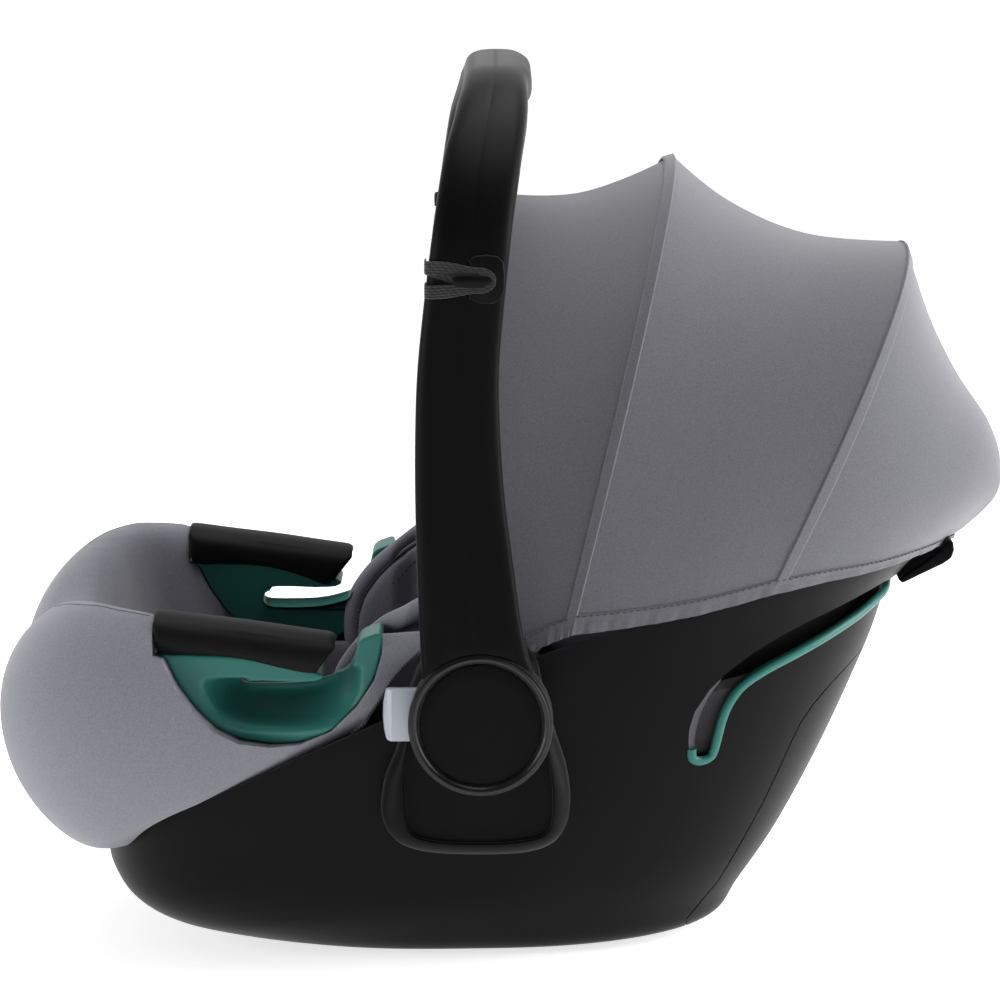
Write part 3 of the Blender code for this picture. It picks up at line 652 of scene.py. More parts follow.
def bowlWidthAt(x, z):
    rows = []
    for k in range(61):
        level = catmull(bowl["levels"], k / 60)
        if level[0] < x < level[2]:
            square = bowl["frontSquare"] if x < hub.x else bowl["rearSquare"]
            reach = hub.x - level[0] if x < hub.x else level[2] - hub.x
            t = min(abs(x - hub.x) / reach, 1.0)
            rows.append((levelHeight(level, x), level[4] * (1 - t ** square) ** (1 / square)))
    for (za, ya), (zb, yb) in zip(rows, rows[1:]):
        if zb <= z <= za:
            return mix(yb, ya, (z - zb) / max(za - zb, 1e-6))
    return rows[0][1] if z > rows[0][0] else rows[-1][1]


def bowlSkin(name, down=1.0, inward=0.0, start=0.0):
    piece = onGrid(name, bowl["around"], bowl["down"],
                   lambda u, w: bowlPoint(u, start + w * (down - start)))
    faceOut(piece)
    middle = min(piece.data.polygons, key=lambda f: f.center.z)
    if middle.normal.z > 0:
        flipAll(piece)
    if inward:
        shifts = [v.normal * inward for v in piece.data.vertices]
        for v, shift in zip(piece.data.vertices, shifts):
            v.co -= shift
    return piece


def makeBowl():
    slot = [*bowl["slotLow"], (0.36, 0.236), (0.36, 0.2478), *bowl["slotHigh"]]
    seam = bowl["seam"]
    behind = [*seam, (0.4, 0.208), (0.4, -0.05), (0.12, -0.05)]
    gap = bowl["seamGap"]
    wide = [(x - gap, z + gap * 0.5) for x, z in seam] + [(0.4, 0.2085), (0.4, -0.05), (0.12 - gap, -0.05)]

    shell = bowlSkin("shellBowl")
    thicken(shell, bowl["wall"])
    panel = shell.copy()
    panel.data = shell.data.copy()
    bpy.context.collection.objects.link(panel)
    panel.name = "rearPanel"
    slotCutter = outlinePrism("slotCutter", slot, -0.3, 0.3)
    cutWith(shell, outlinePrism("wideCutter", wide, -0.3, 0.3))
    cutWith(shell, slotCutter)
    cutWith(panel, outlinePrism("panelCutter", behind, -0.3, 0.3), "INTERSECT")
    for piece, node in ((shell, "outer_shell"), (panel, "rear_cover_panel")):
        shadeSmooth(piece, 30)
        finishPiece(piece, "carrier", "shell_plastic", shellPlastic, node)

    # the dark inner wall that closes the belt slot's depth
    wall = bowl["innerWall"]
    inner = bowlSkin("slotInnerWall", wall["down"], wall["inward"], wall["start"])
    thicken(inner, wall["thick"])
    shadeSmooth(inner, 40)
    finishPiece(inner, "carrier", "shell_plastic", capPlastic)


def slotEdge(lift, inset, edge):
    # a line beside the slot's edge, lifted across it and sunk into the wall
    run = []
    for i, (x, z) in enumerate(edge):
        xa, za = edge[max(i - 1, 0)]
        xb, zb = edge[min(i + 1, len(edge) - 1)]
        length = math.hypot(xb - xa, zb - za)
        px, pz = x - (zb - za) / length * lift, z + (xb - xa) / length * lift
        run.append(Vector((px, bowlWidthAt(px, pz) - inset, pz)))
    return run


def ribbon(name, edges, thick, count=80):
    # a strip of skin between two or more lines of points
    lines = [smoothRun(edge, count) for edge in edges]
    rows = len(lines) - 1
    piece = onGrid(name, rows, count - 1, lambda u, w: lines[round(u * rows)][round(w * (count - 1))])
    faceOut(piece)
    thicken(piece, thick, 0)
    return piece


def makeSlotTrim():
    low = [(0.1168, 0.15), (0.1178, 0.1425), *bowl["slotLow"][2:]]
    near = slotEdge(0.0018, 0.0008, low)
    half = [Vector((v.x, -v.y, v.z)) for v in near]
    half += [Vector(p) for p in bowl["rimTurn"]]
    route = half + [Vector((v.x, -v.y, v.z)) for v in half[-2::-1]]
    rim = tubeAlong("beltSlotRim", smoothRun(route, 190), bowl["rimRadius"], 14, 0.85)
    shadeSmooth(rim, 50)
    finishPiece(rim, "carrier", "guide_green", greenPlastic, "belt_slot_trim")
    for tag, side in sides:
        depths = ((0.0006, 0.0012), (0.0018, 0.006), (0.003, bowl["slotDepth"]))
        edges = [[Vector((v.x, side * v.y, v.z)) for v in slotEdge(lift, inset, low)]
                 for lift, inset in depths]
        liner = ribbon("slotFloor_" + tag, edges, 0.0008)
        shadeSmooth(liner, 50)
        finishPiece(liner, "carrier", "guide_green", greenPlastic)
        outer, inner = bowl["endOuter"], bowl["endInner"]
        wall = ribbon("slotEndWall_" + tag, [
            [(x, side * (bowlWidthAt(x, z) - 0.0006), z) for x, z in outer],
            [(mix(a[0], b[0], 0.5), side * (bowlWidthAt(a[0], a[1]) - 0.006), mix(a[1], b[1], 0.5))
             for a, b in zip(outer, inner)],
            [(x, side * (bowlWidthAt(x, z) - bowl["slotDepth"]), z) for x, z in inner]], 0.001, 40)
        shadeSmooth(wall, 60)
        finishPiece(wall, "carrier", "shell_plastic", greyTrim)


makeBowl()
makeSlotTrim()
print("bowl made")


# ---- handle

handle = {
    "legY": 0.2135, "legTop": 0.474, "barHalf": 0.075, "barZ": 0.5765, "square": 3.0, "seam": -0.0001,
    "gripSwell": 0.0015, "hubCut": 0.0469,
    # height, middle x, width along x, thickness
    "stations": [
        (0.2, -0.019, 0.074, 0.0185), (0.228, -0.0235, 0.068, 0.0185), (0.252, -0.0262, 0.0645, 0.019),
        (0.285, -0.029, 0.0615, 0.019), (0.323, -0.0318, 0.0575, 0.019), (0.362, -0.0333, 0.0545, 0.019),
        (0.407, -0.033, 0.052, 0.019), (0.455, -0.0287, 0.051, 0.0195), (0.5, -0.0235, 0.0502, 0.022),
        (0.538, -0.0178, 0.0495, 0.025), (0.566, -0.0115, 0.046, 0.0285), (0.5765, -0.009, 0.044, 0.03),
    ],
}


def handleAt(height):
    rows = handle["stations"]
    for i, (a, b) in enumerate(zip(rows, rows[1:])):
        if a[0] <= height <= b[0]:
            f = (height - a[0]) / (b[0] - a[0])
            return catmull(rows, (i + f) / (len(rows) - 1))[1:]
    return rows[-1][1:] if height > rows[-1][0] else rows[0][1:]


def handleRoute():
    legY, top, barHalf, barZ = (handle[k] for k in ("legY", "legTop", "barHalf", "barZ"))
    half = [(-legY, mix(0.2, top, i / 26), 0.5 * math.pi) for i in range(27)]
    for i in range(1, 27):
        a = 0.5 * math.pi * i / 27
        y = -barHalf - (legY - barHalf) * math.cos(a)
        z = top + (barZ - top) * math.sin(a)
        slope = math.atan2((barZ - top) * math.cos(a), (legY - barHalf) * math.sin(a))
        half.append((y, z, slope))
    half += [(mix(-barHalf, 0, i / 10), barZ, 0.0) for i in range(11)]
    return half + [(-y, z, -slope) for y, z, slope in reversed(half[:-1])]


def makeHandle():
    route = handleRoute()
    for name, sign in (("handleFront", -1), ("handleRear", 1)):
        def place(u, w):
            y, z, slope = route[round(w * (len(route) - 1))]
            middle, width, thick = handleAt(z)
            up = Vector((0, -math.sin(slope), math.cos(slope)))
            swell = handle["gripSwell"] * (1 - 2 * smoothstep((abs(y) - 0.055) / 0.035)
                                           + smoothstep((abs(y) - 0.1) / 0.05)) if sign > 0 else 0.0
            if u < 0.8:
                a = -0.5 * math.pi + math.pi * u / 0.8
                bulk = max(math.cos(a), 0) ** (2 / handle["square"])
                off = handle["seam"] + (width / 2 + swell - handle["seam"]) * bulk
                across = thick / 2 * math.copysign(abs(math.sin(a)) ** (2 / handle["square"]), math.sin(a))
            else:
                off = handle["seam"]
                across = thick / 2 * mix(1, -1, (u - 0.8) / 0.2)
            return Vector((middle + sign * off, y, z)) + up * across
        piece = onGrid(name, 40, len(route) - 1, place)
        closeEnds(piece)
        for side in (-1, 1):
            deselectAll()
            bpy.ops.mesh.primitive_cylinder_add(vertices=96, radius=handle["hubCut"], depth=0.09,
                                                location=(hub.x, side * handle["legY"], hub.z),
                                                rotation=(math.pi / 2, 0, 0))
            cutWith(piece, bpy.context.object)
        roundEdges(piece, 0.0006, 2, 60)
        shadeSmooth(piece, 35)
        finishPiece(piece, "handle", "handle_plastic", handlePlastic,
                    "handle_front_half" if sign < 0 else "handle_rear_half")


makeHandle()
print("handle made")


# ---- hubs

housing = {
    "outline": [(0.013, 0.222), (-0.02, 0.229), (-0.05, 0.222), (-0.064, 0.2), (-0.069, 0.175),
                (-0.075, 0.155), (-0.081, 0.139), (-0.084, 0.119), (-0.081, 0.105), (-0.071, 0.094),
                (-0.052, 0.0885), (-0.021, 0.087), (0.01, 0.0885), (0.028, 0.095), (0.037, 0.108),
                (0.039, 0.126), (0.036, 0.146), (0.029, 0.169), (0.021, 0.2)],
    "plate": [(0.018, 0.205), (-0.02, 0.215), (-0.056, 0.205), (-0.064, 0.185), (-0.0665, 0.165),
              (-0.069, 0.15), (-0.07, 0.13), (-0.0665, 0.1075), (-0.052, 0.0995), (-0.021, 0.0975),
              (0.01, 0.0995), (0.025, 0.1065), (0.0275, 0.13), (0.025, 0.15), (0.024, 0.17),
              (0.025, 0.185)],
    "centre": (-0.022, 0.145), "points": 160,
    # share of the way from the plate's edge to the outline, distance from the middle
    "steps": [(1.0, 0.15), (1.0, 0.182), (0.985, 0.187), (0.93, 0.1915), (0.8, 0.1955), (0.6, 0.1988),
              (0.35, 0.2014), (0.14, 0.203), (0.07, 0.2032), (0.03, 0.2027), (0.0, 0.2015), (-0.01, 0.1996),
              (-0.025, 0.1985), (-0.045, 0.1981)],
    # the parting line of a lower corner piece: how far outwards, height
    "corners": {"Front": (-0.07, -1), "Rear": (0.0275, 1)},
    "cornerLine": [(0.0, 0.1185), (0.002, 0.1225), (0.0055, 0.1215), (0.009, 0.118), (0.0125, 0.115)],
}


def ringStack(name, rings):
    # rings of equal count, joined into one closed skin
    rows = len(rings) - 1
    count = len(rings[0])
    piece = onGrid(name, count, rows, lambda u, w: Vector(rings[round(w * rows)][round(u * count) % count]))
    closeEnds(piece)
    return piece


def reachFrom(centre, points):
    # how far an outline lies from a centre in each direction
    out = []
    for i in range(housing["points"]):
        angle = math.tau * i / housing["points"]
        best = min(points, key=lambda p: abs((math.atan2(p[1] - centre[1], p[0] - centre[0]) - angle
                                              + math.pi) % math.tau - math.pi))
        out.append(math.hypot(best[0] - centre[0], best[1] - centre[1]))
    return out


def makeHousing(tag, side):
    centre = housing["centre"]
    far = reachFrom(centre, smoothLoop(housing["outline"], 1600))
    close = reachFrom(centre, smoothLoop(housing["plate"], 1600))

    def spot(share, out, i):
        a = math.tau * i / housing["points"]
        r = mix(close[i], far[i], share)
        return (centre[0] + r * math.cos(a), side * out, centre[1] + r * math.sin(a))
    rows = [[spot(share, out, i) for i in range(housing["points"])] for share, out in housing["steps"]]
    body = ringStack("hubHousing_" + tag, rows)
    shadeSmooth(body, 50)
    finishPiece(body, "carrier", "shell_plastic", shellPlastic, "hub_housing_" + tag, "housing_plate_" + tag)
    for corner, (start, out) in housing["corners"].items():
        points = [body.closest_point_on_mesh(Vector((start + out * u, side * 0.215, z)))[1]
                  for u, z in housing["cornerLine"]]
        groove = tubeAlong("cornerLine" + corner + "_" + tag, smoothRun(points, 24), 0.0003, 6)
        finishPiece(groove, "carrier", "shell_plastic", capPlastic)


hubParts = {
    # radius, distance from the middle
    "ring": [(0.01, 0.2165), (0.0396, 0.2165), (0.0398, 0.2192), (0.0402, 0.2208), (0.041, 0.2222),
             (0.0422, 0.2232), (0.0432, 0.2236), (0.0438, 0.2235), (0.0441, 0.2229), (0.0444, 0.2224),
             (0.045, 0.2223), (0.0457, 0.222), (0.0462, 0.2212), (0.0465, 0.22), (0.0465, 0.204),
             (0.046, 0.2035), (0.01, 0.2035)],
    "disc": [(0.0, 0.217), (0.0, 0.2202), (0.015, 0.2202), (0.028, 0.2201), (0.0378, 0.2199),
             (0.0388, 0.2196), (0.0392, 0.2191), (0.0393, 0.217)],
    # the button's outline from the hub's axis, its inner and outer face, and where its face turns away
    "button": [(-0.061, -0.0115), (-0.0622, -0.006), (-0.063, 0.003), (-0.0626, 0.012), (-0.0612, 0.0205),
               (-0.0595, 0.0215), (-0.04, 0.0215), (-0.04, -0.0125), (-0.06, -0.0125)],
    "buttonFaces": (0.2045, 0.2125), "crease": -0.0575,
}


def makeHub(tag, side):
    ring = spunRing("hubRing_" + tag, hubParts["ring"], side, 128)
    shadeSmooth(ring, 32)
    finishPiece(ring, "handle", "handle_plastic", ringPlastic, "hub_boss_" + tag)
    disc = spunRing("hubDisc_" + tag, hubParts["disc"], side, 128)
    shadeSmooth(disc, 32)
    finishPiece(disc, "handle", "cap_plastic", capPlastic, "hub_cap_" + tag)

    low, high = hubParts["buttonFaces"]
    crease = hub.x + hubParts["crease"]
    button = outlinePrism("pushButton_" + tag, [(hub.x + u, hub.z + v) for u, v in hubParts["button"]],
                          side * low, side * high)
    for v in button.data.vertices:
        if side * v.co.y > high - 0.0025 and v.co.x < crease + 0.0025:
            v.co.y -= side * 0.0028
            v.co.x += 0.0008
    inEdit(button, lambda: bpy.ops.mesh.bisect(plane_co=(crease, 0, 0), plane_no=(1, 0, 0)))
    for v in button.data.vertices:
        if side * v.co.y > high - 0.0045 and abs(v.co.x - crease) < 0.0002:
            v.co.y = side * high
    roundEdges(button, 0.0007, 3, 30)
    shadeSmooth(button, 30)
    finishPiece(button, "release_button_" + tag, "button_plastic", buttonPlastic, "release_button_" + tag)


for tag, side in sides:
    makeHousing(tag, side)
    makeHub(tag, side)
print("hubs made")


# ---- the elastic loops on the legs

loop = {
    "height": 0.4665, "tip": (-0.0105, -0.0185), "spread": (0.0056, 0.0076), "half": (0.0014, 0.0044),
    "thick": 0.0011, "cords": 5, "lift": 0.0006,
    "plate": [(-0.0262, 0.479), (-0.0229, 0.4815), (-0.015, 0.4825), (-0.008, 0.4815), (-0.0045, 0.478),
              (-0.0035, 0.47), (-0.004, 0.46), (-0.0065, 0.454), (-0.012, 0.4515), (-0.02, 0.452),
              (-0.0262, 0.455), (-0.024, 0.462), (-0.0225, 0.467), (-0.024, 0.472)],
}


def loopLine(s, face):
    # the band's middle line: the back of the leg, the front edge, the face and round the peg
    q = abs(s)
    sign = 1 if s >= 0 else -1
    middle, width, thick = handleAt(loop["height"])
    left = middle - width / 2 - 0.0008
    tip, start = loop["tip"]
    if q < 0.25:
        phi = q / 0.25 * math.pi / 2
        x = start + (tip - start) * math.cos(phi)
        z = loop["spread"][0] * math.sin(phi)
        return Vector((x, face, loop["height"] + sign * z)), mix(loop["half"][0], 0.0026, q / 0.25)
    t = min((q - 0.25) / 0.55, 1.0)
    z = mix(loop["spread"][0], loop["spread"][1], smoothstep(t))
    half = mix(0.0026, loop["half"][1], smoothstep(t * 1.3))
    if q < 0.8:
        return Vector((mix(start, left + 0.0035, t), face, loop["height"] + sign * z)), half
    a = (q - 0.8) / 0.2
    if a < 0.4:
        turn = a / 0.4 * math.pi / 2
        return Vector((left + 0.0035 - 0.0035 * math.sin(turn), face - 0.0035 * (1 - math.cos(turn)),
                       loop["height"] + sign * z)), half
    return Vector((left, face - 0.0035 - (a - 0.4) / 0.6 * (thick - 0.006),
                   loop["height"] + sign * z)), half


def makeLoop(tag, side):
    face = handle["legY"] + handleAt(loop["height"])[2] / 2
    plate = outlinePrism("loopPlate_" + tag, loop["plate"], side * (face - 0.001), side * (face + 0.0022))
    roundEdges(plate, 0.0011, 4, 25)
    shadeSmooth(plate, 50)
    finishPiece(plate, "handle", "soft_pad", pegPlastic, "loop_plate_" + tag)

    def knob(u, w):
        a = math.pi * w
        x = -0.0245 - 0.0122 * math.cos(a)
        r = math.sin(a) ** 0.6
        return Vector((x, side * (face + 0.0022 + 0.003 * r * math.cos(math.tau * u)),
                       loop["height"] - 0.0004 + 0.0047 * r * math.sin(math.tau * u)))
    peg = onGrid("loopPeg_" + tag, 24, 30, knob)
    faceOut(peg)
    shadeSmooth(peg, 60)
    finishPiece(peg, "handle", "soft_pad", pegPlastic, "loop_peg_" + tag)

    rows = 150

    def band(u, w):
        s = 2 * w - 1
        out = face + loop["lift"] + 0.0024 * (1 - smoothstep((abs(s) - 0.2) / 0.35))
        p, half = loopLine(s, out)
        ahead, back = loopLine(min(s + 0.01, 1), out)[0], loopLine(max(s - 0.01, -1), out)[0]
        along = (ahead - back).normalized()
        flat = Vector((0, 0, 1)) - along * along.z
        flat = flat.normalized() if flat.length > 0.2 else Vector((1, 0, 0))
        if abs(s) < 0.25:
            flat = Vector((math.cos(abs(s) / 0.25 * math.pi / 2), 0, math.sin(abs(s) / 0.25 * math.pi / 2)
                           * (1 if s > 0 else -1)))
        elif s < 0:
            flat = -flat
        up = along.cross(flat).normalized()
        if up.dot(Vector((-0.4, 1, 0))) < 0:
            up.negate()
        # two faces of the band, corded on the outside
        if u < 0.5:
            v = u / 0.5 * 2 - 1
            ridge = 0.00022 * math.cos(v * math.pi * loop["cords"]) * (1 - v ** 8)
            p = p + flat * half * v + up * (loop["thick"] / 2 * (1 - 0.5 * v ** 8) + ridge)
        else:
            v = 1 - (u - 0.5) / 0.5 * 2
            p = p + flat * half * v - up * loop["thick"] / 2 * (1 - 0.5 * v ** 8)
        return Vector((p.x, side * p.y, p.z))
    elastic = onGrid("elasticLoop_" + tag, 72, rows, band)
    closeEnds(elastic)
    shadeSmooth(elastic, 50)
    finishPiece(elastic, "handle", "elastic", elasticBand, "elastic_loop_" + tag)


for tag, side in sides:
    makeLoop(tag, side)
print("elastic loops made")


# ---- belt guides and arm pads

guide = {
    "outline": [(-0.2295, 0.2185), (-0.224, 0.2174), (-0.2151, 0.1996), (-0.2043, 0.1843), (-0.1915, 0.1711),
                (-0.1754, 0.1624), (-0.1559, 0.159), (-0.1364, 0.16), (-0.1169, 0.168), (-0.1006, 0.183),
                (-0.089, 0.2005), (-0.084, 0.218), (-0.0832, 0.231), (-0.0905, 0.23), (-0.096, 0.2275),
                (-0.0985, 0.2245), (-0.0998, 0.218), (-0.102, 0.21), (-0.107, 0.203), (-0.117, 0.1975),
                (-0.136, 0.193), (-0.162, 0.192), (-0.1745, 0.193), (-0.177, 0.1962), (-0.1745, 0.1995),
                (-0.162, 0.201), (-0.14, 0.2), (-0.125, 0.201), (-0.124, 0.206), (-0.168, 0.216)],
    "lip": [(-0.174, 0.1975), (-0.17, 0.1955), (-0.162, 0.1935), (-0.136, 0.1935), (-0.117, 0.1985),
            (-0.108, 0.206)],
    "inner": 0.142, "outer": 0.1835, "depth": 0.036, "reach": 0.023,
    "pad": [(-0.227, 0.2185), (-0.2066, 0.218), (-0.1873, 0.2172), (-0.168, 0.2142), (-0.1486, 0.2085),
            (-0.139, 0.2045), (-0.1325, 0.2025), (-0.1265, 0.206), (-0.1205, 0.213), (-0.1152, 0.2205),
            (-0.113, 0.226), (-0.116, 0.2282), (-0.121, 0.229), (-0.1364, 0.2312), (-0.1688, 0.236),
            (-0.2012, 0.24), (-0.228, 0.2435), (-0.231, 0.242), (-0.23, 0.232)],
    "voxel": 0.001, "slotFall": 0.19, "rim": 0.006, "hookIn": 0.004, "edgeIn": 0.003,
    "padInner": 0.1385, "padOuter": 0.186, "padRound": 0.017, "padVoxel": 0.0013,
}


def makeGuide(tag, side):
    piece = outlinePrism("beltGuide_" + tag, smoothLoop(guide["outline"], 150), side * guide["inner"],
                         side * guide["outer"])
    applyMod(piece, "REMESH", mode="VOXEL", voxel_size=guide["voxel"])
    lip = [Vector((p.x, 0, p.y)) for p in smoothRun(guide["lip"], 60)]
    for v in piece.data.vertices:
        out = side * v.co.y
        # the floor of the belt slot falls a little towards the seat
        if -0.185 < v.co.x < -0.1 and 0.184 < v.co.z < 0.1985:
            share = smoothstep((v.co.x + 0.19) / 0.02) * (1 - smoothstep((v.co.x + 0.118) / 0.018))
            fall = guide["slotFall"] * share * (guide["outer"] - out)
            v.co.z -= fall * smoothstep((v.co.z - 0.184) / 0.008)
        # the hollow below the lip
        away, near = min((math.hypot(v.co.x - p.x, v.co.z - p.z), p.z) for p in lip)
        depthShare = smoothstep((out - guide["inner"] - 0.004) / 0.02)
        if v.co.z < near + 0.0035 and depthShare > 0:
            hollow = (1 - smoothstep((away - 0.004) / guide["reach"])) * smoothstep((-0.094 - v.co.x) / 0.02)
            v.co.y -= side * guide["depth"] * hollow * depthShare
        # the hook and the lower edge lie a little further in
        if out > guide["outer"] - guide["rim"]:
            v.co.y -= side * guide["hookIn"] * smoothstep((v.co.x + 0.12) / 0.022)
            v.co.y -= side * guide["edgeIn"] * smoothstep((0.1705 - v.co.z) / 0.012)
    applyMod(piece, "SMOOTH", factor=0.5, iterations=9)
    shadeSmooth(piece, 80)
    finishPiece(piece, "carrier", "guide_green", greenPlastic, "lap_belt_guide_" + tag)

    pad = outlinePrism("armPad_" + tag, smoothLoop(guide["pad"], 110), side * guide["padInner"],
                       side * guide["padOuter"])
    applyMod(pad, "REMESH", mode="VOXEL", voxel_size=guide["padVoxel"])
    middle, half = (guide["padInner"] + guide["padOuter"]) / 2, (guide["padOuter"] - guide["padInner"]) / 2
    for v in pad.data.vertices:
        # the top is well rounded, the lower outer edge a little
        top = 0.2435 - (v.co.x + 0.228) * 0.137
        across, up = (side * v.co.y - middle) / half, (v.co.z - top + guide["padRound"]) / guide["padRound"]
        if up > 0:
            share = max(abs(across), up) / max((abs(across) ** 2.5 + up ** 2.5) ** 0.4, 0.0001)
            v.co.y = side * (middle + across * share * half)
            v.co.z = top + (up * share - 1) * guide["padRound"]
        else:
            v.co.y -= side * 0.0035 * smoothstep((across - 0.6) / 0.4) * smoothstep(-up / 0.6)
    applyMod(pad, "SMOOTH", factor=0.5, iterations=18)
    shadeSmooth(pad, 80)
    finishPiece(pad, "carrier", "soft_pad", softPad, "arm_pad_" + tag)


for tag, side in sides:
    makeGuide(tag, side)
print("belt guides made")


# ---- the padded cover of the side walls and feet

cover = {
    # x, y, crest height, bulge, half thickness, how far the lower edge hangs over the rim
    "path": [
        (-0.03, 0.16, 0.233, 0.003, 0.012, 0.0), (-0.05, 0.1605, 0.233, 0.003, 0.0125, 0.0),
        (-0.08, 0.162, 0.232, 0.005, 0.014, 0.006), (-0.115, 0.163, 0.231, 0.008, 0.0165, 0.008),
        (-0.15, 0.1625, 0.232, 0.011, 0.019, 0.009), (-0.185, 0.1605, 0.236, 0.013, 0.0215, 0.008),
        (-0.215, 0.1595, 0.2412, 0.016, 0.0245, 0.006), (-0.24, 0.153, 0.2467, 0.022, 0.0275, 0.009),
        (-0.258, 0.1385, 0.248, 0.031, 0.0295, 0.013), (-0.2675, 0.114, 0.244, 0.037, 0.03, 0.015),
        (-0.271, 0.083, 0.235, 0.0395, 0.0295, 0.0155), (-0.2715, 0.045, 0.217, 0.0405, 0.029, 0.0155),
        (-0.2715, 0.0, 0.207, 0.0405, 0.029, 0.0155),
    ],
    "around": 64, "along": 240, "square": 2.3, "innerSlope": 0.045, "voxel": 0.0042, "pressure": 3.0,
    "cap": 0.0025,
    # the rear edge beside the hub: x, z
    "rearEdge": [(-0.102, 0.14), (-0.1006, 0.1563), (-0.0973, 0.1663), (-0.0927, 0.177), (-0.0874, 0.185),
                 (-0.0776, 0.201), (-0.0697, 0.2103), (-0.0593, 0.2196), (-0.05, 0.226), (-0.042, 0.245)],
    "guideEdge": [(-0.2315, 0.28), (-0.2315, 0.233), (-0.231, 0.218), (-0.2245, 0.2165), (-0.216, 0.199),
                  (-0.2051, 0.1836), (-0.1921, 0.1702), (-0.1757, 0.1614), (-0.1559, 0.158), (-0.1362, 0.159),
                  (-0.1164, 0.1671), (-0.0998, 0.1824), (-0.0881, 0.2002), (-0.083, 0.218), (-0.0822, 0.28)],
    # the short seam on the crest: x, y, z
    "crestSeam": [(-0.3, 0.116, 0.236), (-0.28, 0.146, 0.246), (-0.254, 0.164, 0.249),
                  (-0.233, 0.17, 0.247)],
}


def rimHeight(x):
    return levelHeight(bowl["levels"][0], x)


def wallPoint(u, w):
    f = abs(2 * w - 1)
    side = -1 if w < 0.5 else 1
    rows = cover["path"]
    x, y, top, bulge, half, hang = catmull(rows, 1 - f)
    e = 0.012
    ahead, back = catmull(rows, min(1 - f + e, 1.0)), catmull(rows, max(1 - f - e, 0.0))
    along = Vector((ahead[0] - back[0], ahead[1] - back[1], 0)).normalized()
    out = Vector((along.y, -along.x, 0))
    if out.dot(Vector((x - hub.x, y + 0.02, 0))) < 0:
        out.negate()
    if f < 0.004:
        out = Vector((-1, 0, 0))
    bottom = rimHeight(x) + 0.0012 - hang
    a = math.tau * u
    c, s = math.cos(a), math.sin(a)
    power = 2 / cover["square"]
    rise = 0.5 + 0.5 * math.copysign(abs(s) ** power, s)
    across = half * math.copysign(abs(c) ** power, c) + bulge * math.sin(0.86 * math.pi * rise) ** 0.75
    if c < 0:
        across -= cover["innerSlope"] * (1 - rise) * abs(c) ** power * smoothstep((-0.19 - x) / 0.05)
    p = Vector((x, y, mix(bottom, top, rise))) + out * across
    return Vector((p.x, side * p.y, p.z))


def puff(piece, pressure, cap, frames=20):
    # pressure inside a closed skin, with the movement limited
    rest = [v.co.copy() for v in piece.data.vertices]
    pick(piece)
    cloth = piece.modifiers.new("cloth", "CLOTH")
    cloth.settings.use_pressure = True
    cloth.settings.uniform_pressure_force = pressure
    cloth.settings.effector_weights.gravity = 0
    scene = bpy.context.scene
    for step in range(1, frames + 1):
        scene.frame_set(step)
    bpy.ops.object.modifier_apply(modifier="cloth")
    scene.frame_set(1)
    for v, was in zip(piece.data.vertices, rest):
        move = v.co - was
        if move.length > cap:
            v.co = was + move * (cap / move.length)


def onto(piece, points, lift=0.0):
    # points dropped on the piece's skin
    out = []
    for p in points:
        place, normal = piece.closest_point_on_mesh(Vector(p))[1:3]
        out.append(place + normal * lift)
    return out


def makeCover():
    piece = onGrid("sideWallCover", cover["around"], cover["along"], wallPoint)
    closeEnds(piece)
    applyMod(piece, "REMESH", mode="VOXEL", voxel_size=cover["voxel"])
    puff(piece, cover["pressure"], cover["cap"])
    applyMod(piece, "SMOOTH", factor=0.6, iterations=14)
    smoother(piece, 1)
    beyond = [*cover["rearEdge"], (0.02, 0.3), (0.02, 0.1)]
    for side in (-1, 1):
        cutWith(piece, outlinePrism("guideSpace", cover["guideEdge"], side * 0.075, side * 0.25))
        cutWith(piece, outlinePrism("hubSpace", beyond, side * 0.05, side * 0.25))
    roundEdges(piece, 0.0008, 2, 50)
    shadeSmooth(piece, 50)
    finishPiece(piece, "carrier", "cover_fabric", coverFabric, "side_wall_cover")
    for tag, side in sides:
        # ribbed binding along the rear edge, and the short seam on the crest
        edge = smoothRun([(x, side * 0.176, z) for x, z in cover["rearEdge"][1:9]], 60)
        cord = tubeAlong("wallBinding_" + tag, onto(piece, edge, 0.0004), 0.0016, 8)
        shadeSmooth(cord, 60)
        finishPiece(cord, "carrier", "cover_fabric", ribBinding)
        crest = smoothRun([(x, side * y, z) for x, y, z in cover["crestSeam"]], 40)
        seam = tubeAlong("crestSeam_" + tag, onto(piece, crest, -0.0001), 0.0006, 6)
        shadeSmooth(seam, 60)
        finishPiece(seam, "carrier", "cover_fabric", seamFabric)


makeCover()
print("side wall cover made")


# ---- the padded insert inside the seat

insert = {
    "edge": [(-0.109, 0.1704), (-0.1067, 0.188), (-0.1016, 0.1997), (-0.0915, 0.2129), (-0.0792, 0.2239),
             (-0.0677, 0.2319), (-0.048, 0.243), (-0.02, 0.25), (0.02, 0.252)],
    "low": 0.12, "lining": (0.09, 0.164), "tuck": 0.007, "wall": 0.148, "thick": 0.014, "voxel": 0.003,
    # where the outer roll starts, below the insert's front corner: x, z
    "rollFoot": [(-0.109, 0.13), (-0.111, 0.15)],
}


def tuck(piece, side, times=1):
    # the front end lies inside the belt guide
    for v in piece.data.vertices:
        v.co.y -= side * times * insert["tuck"] * smoothstep((-0.066 - v.co.x) / 0.02)


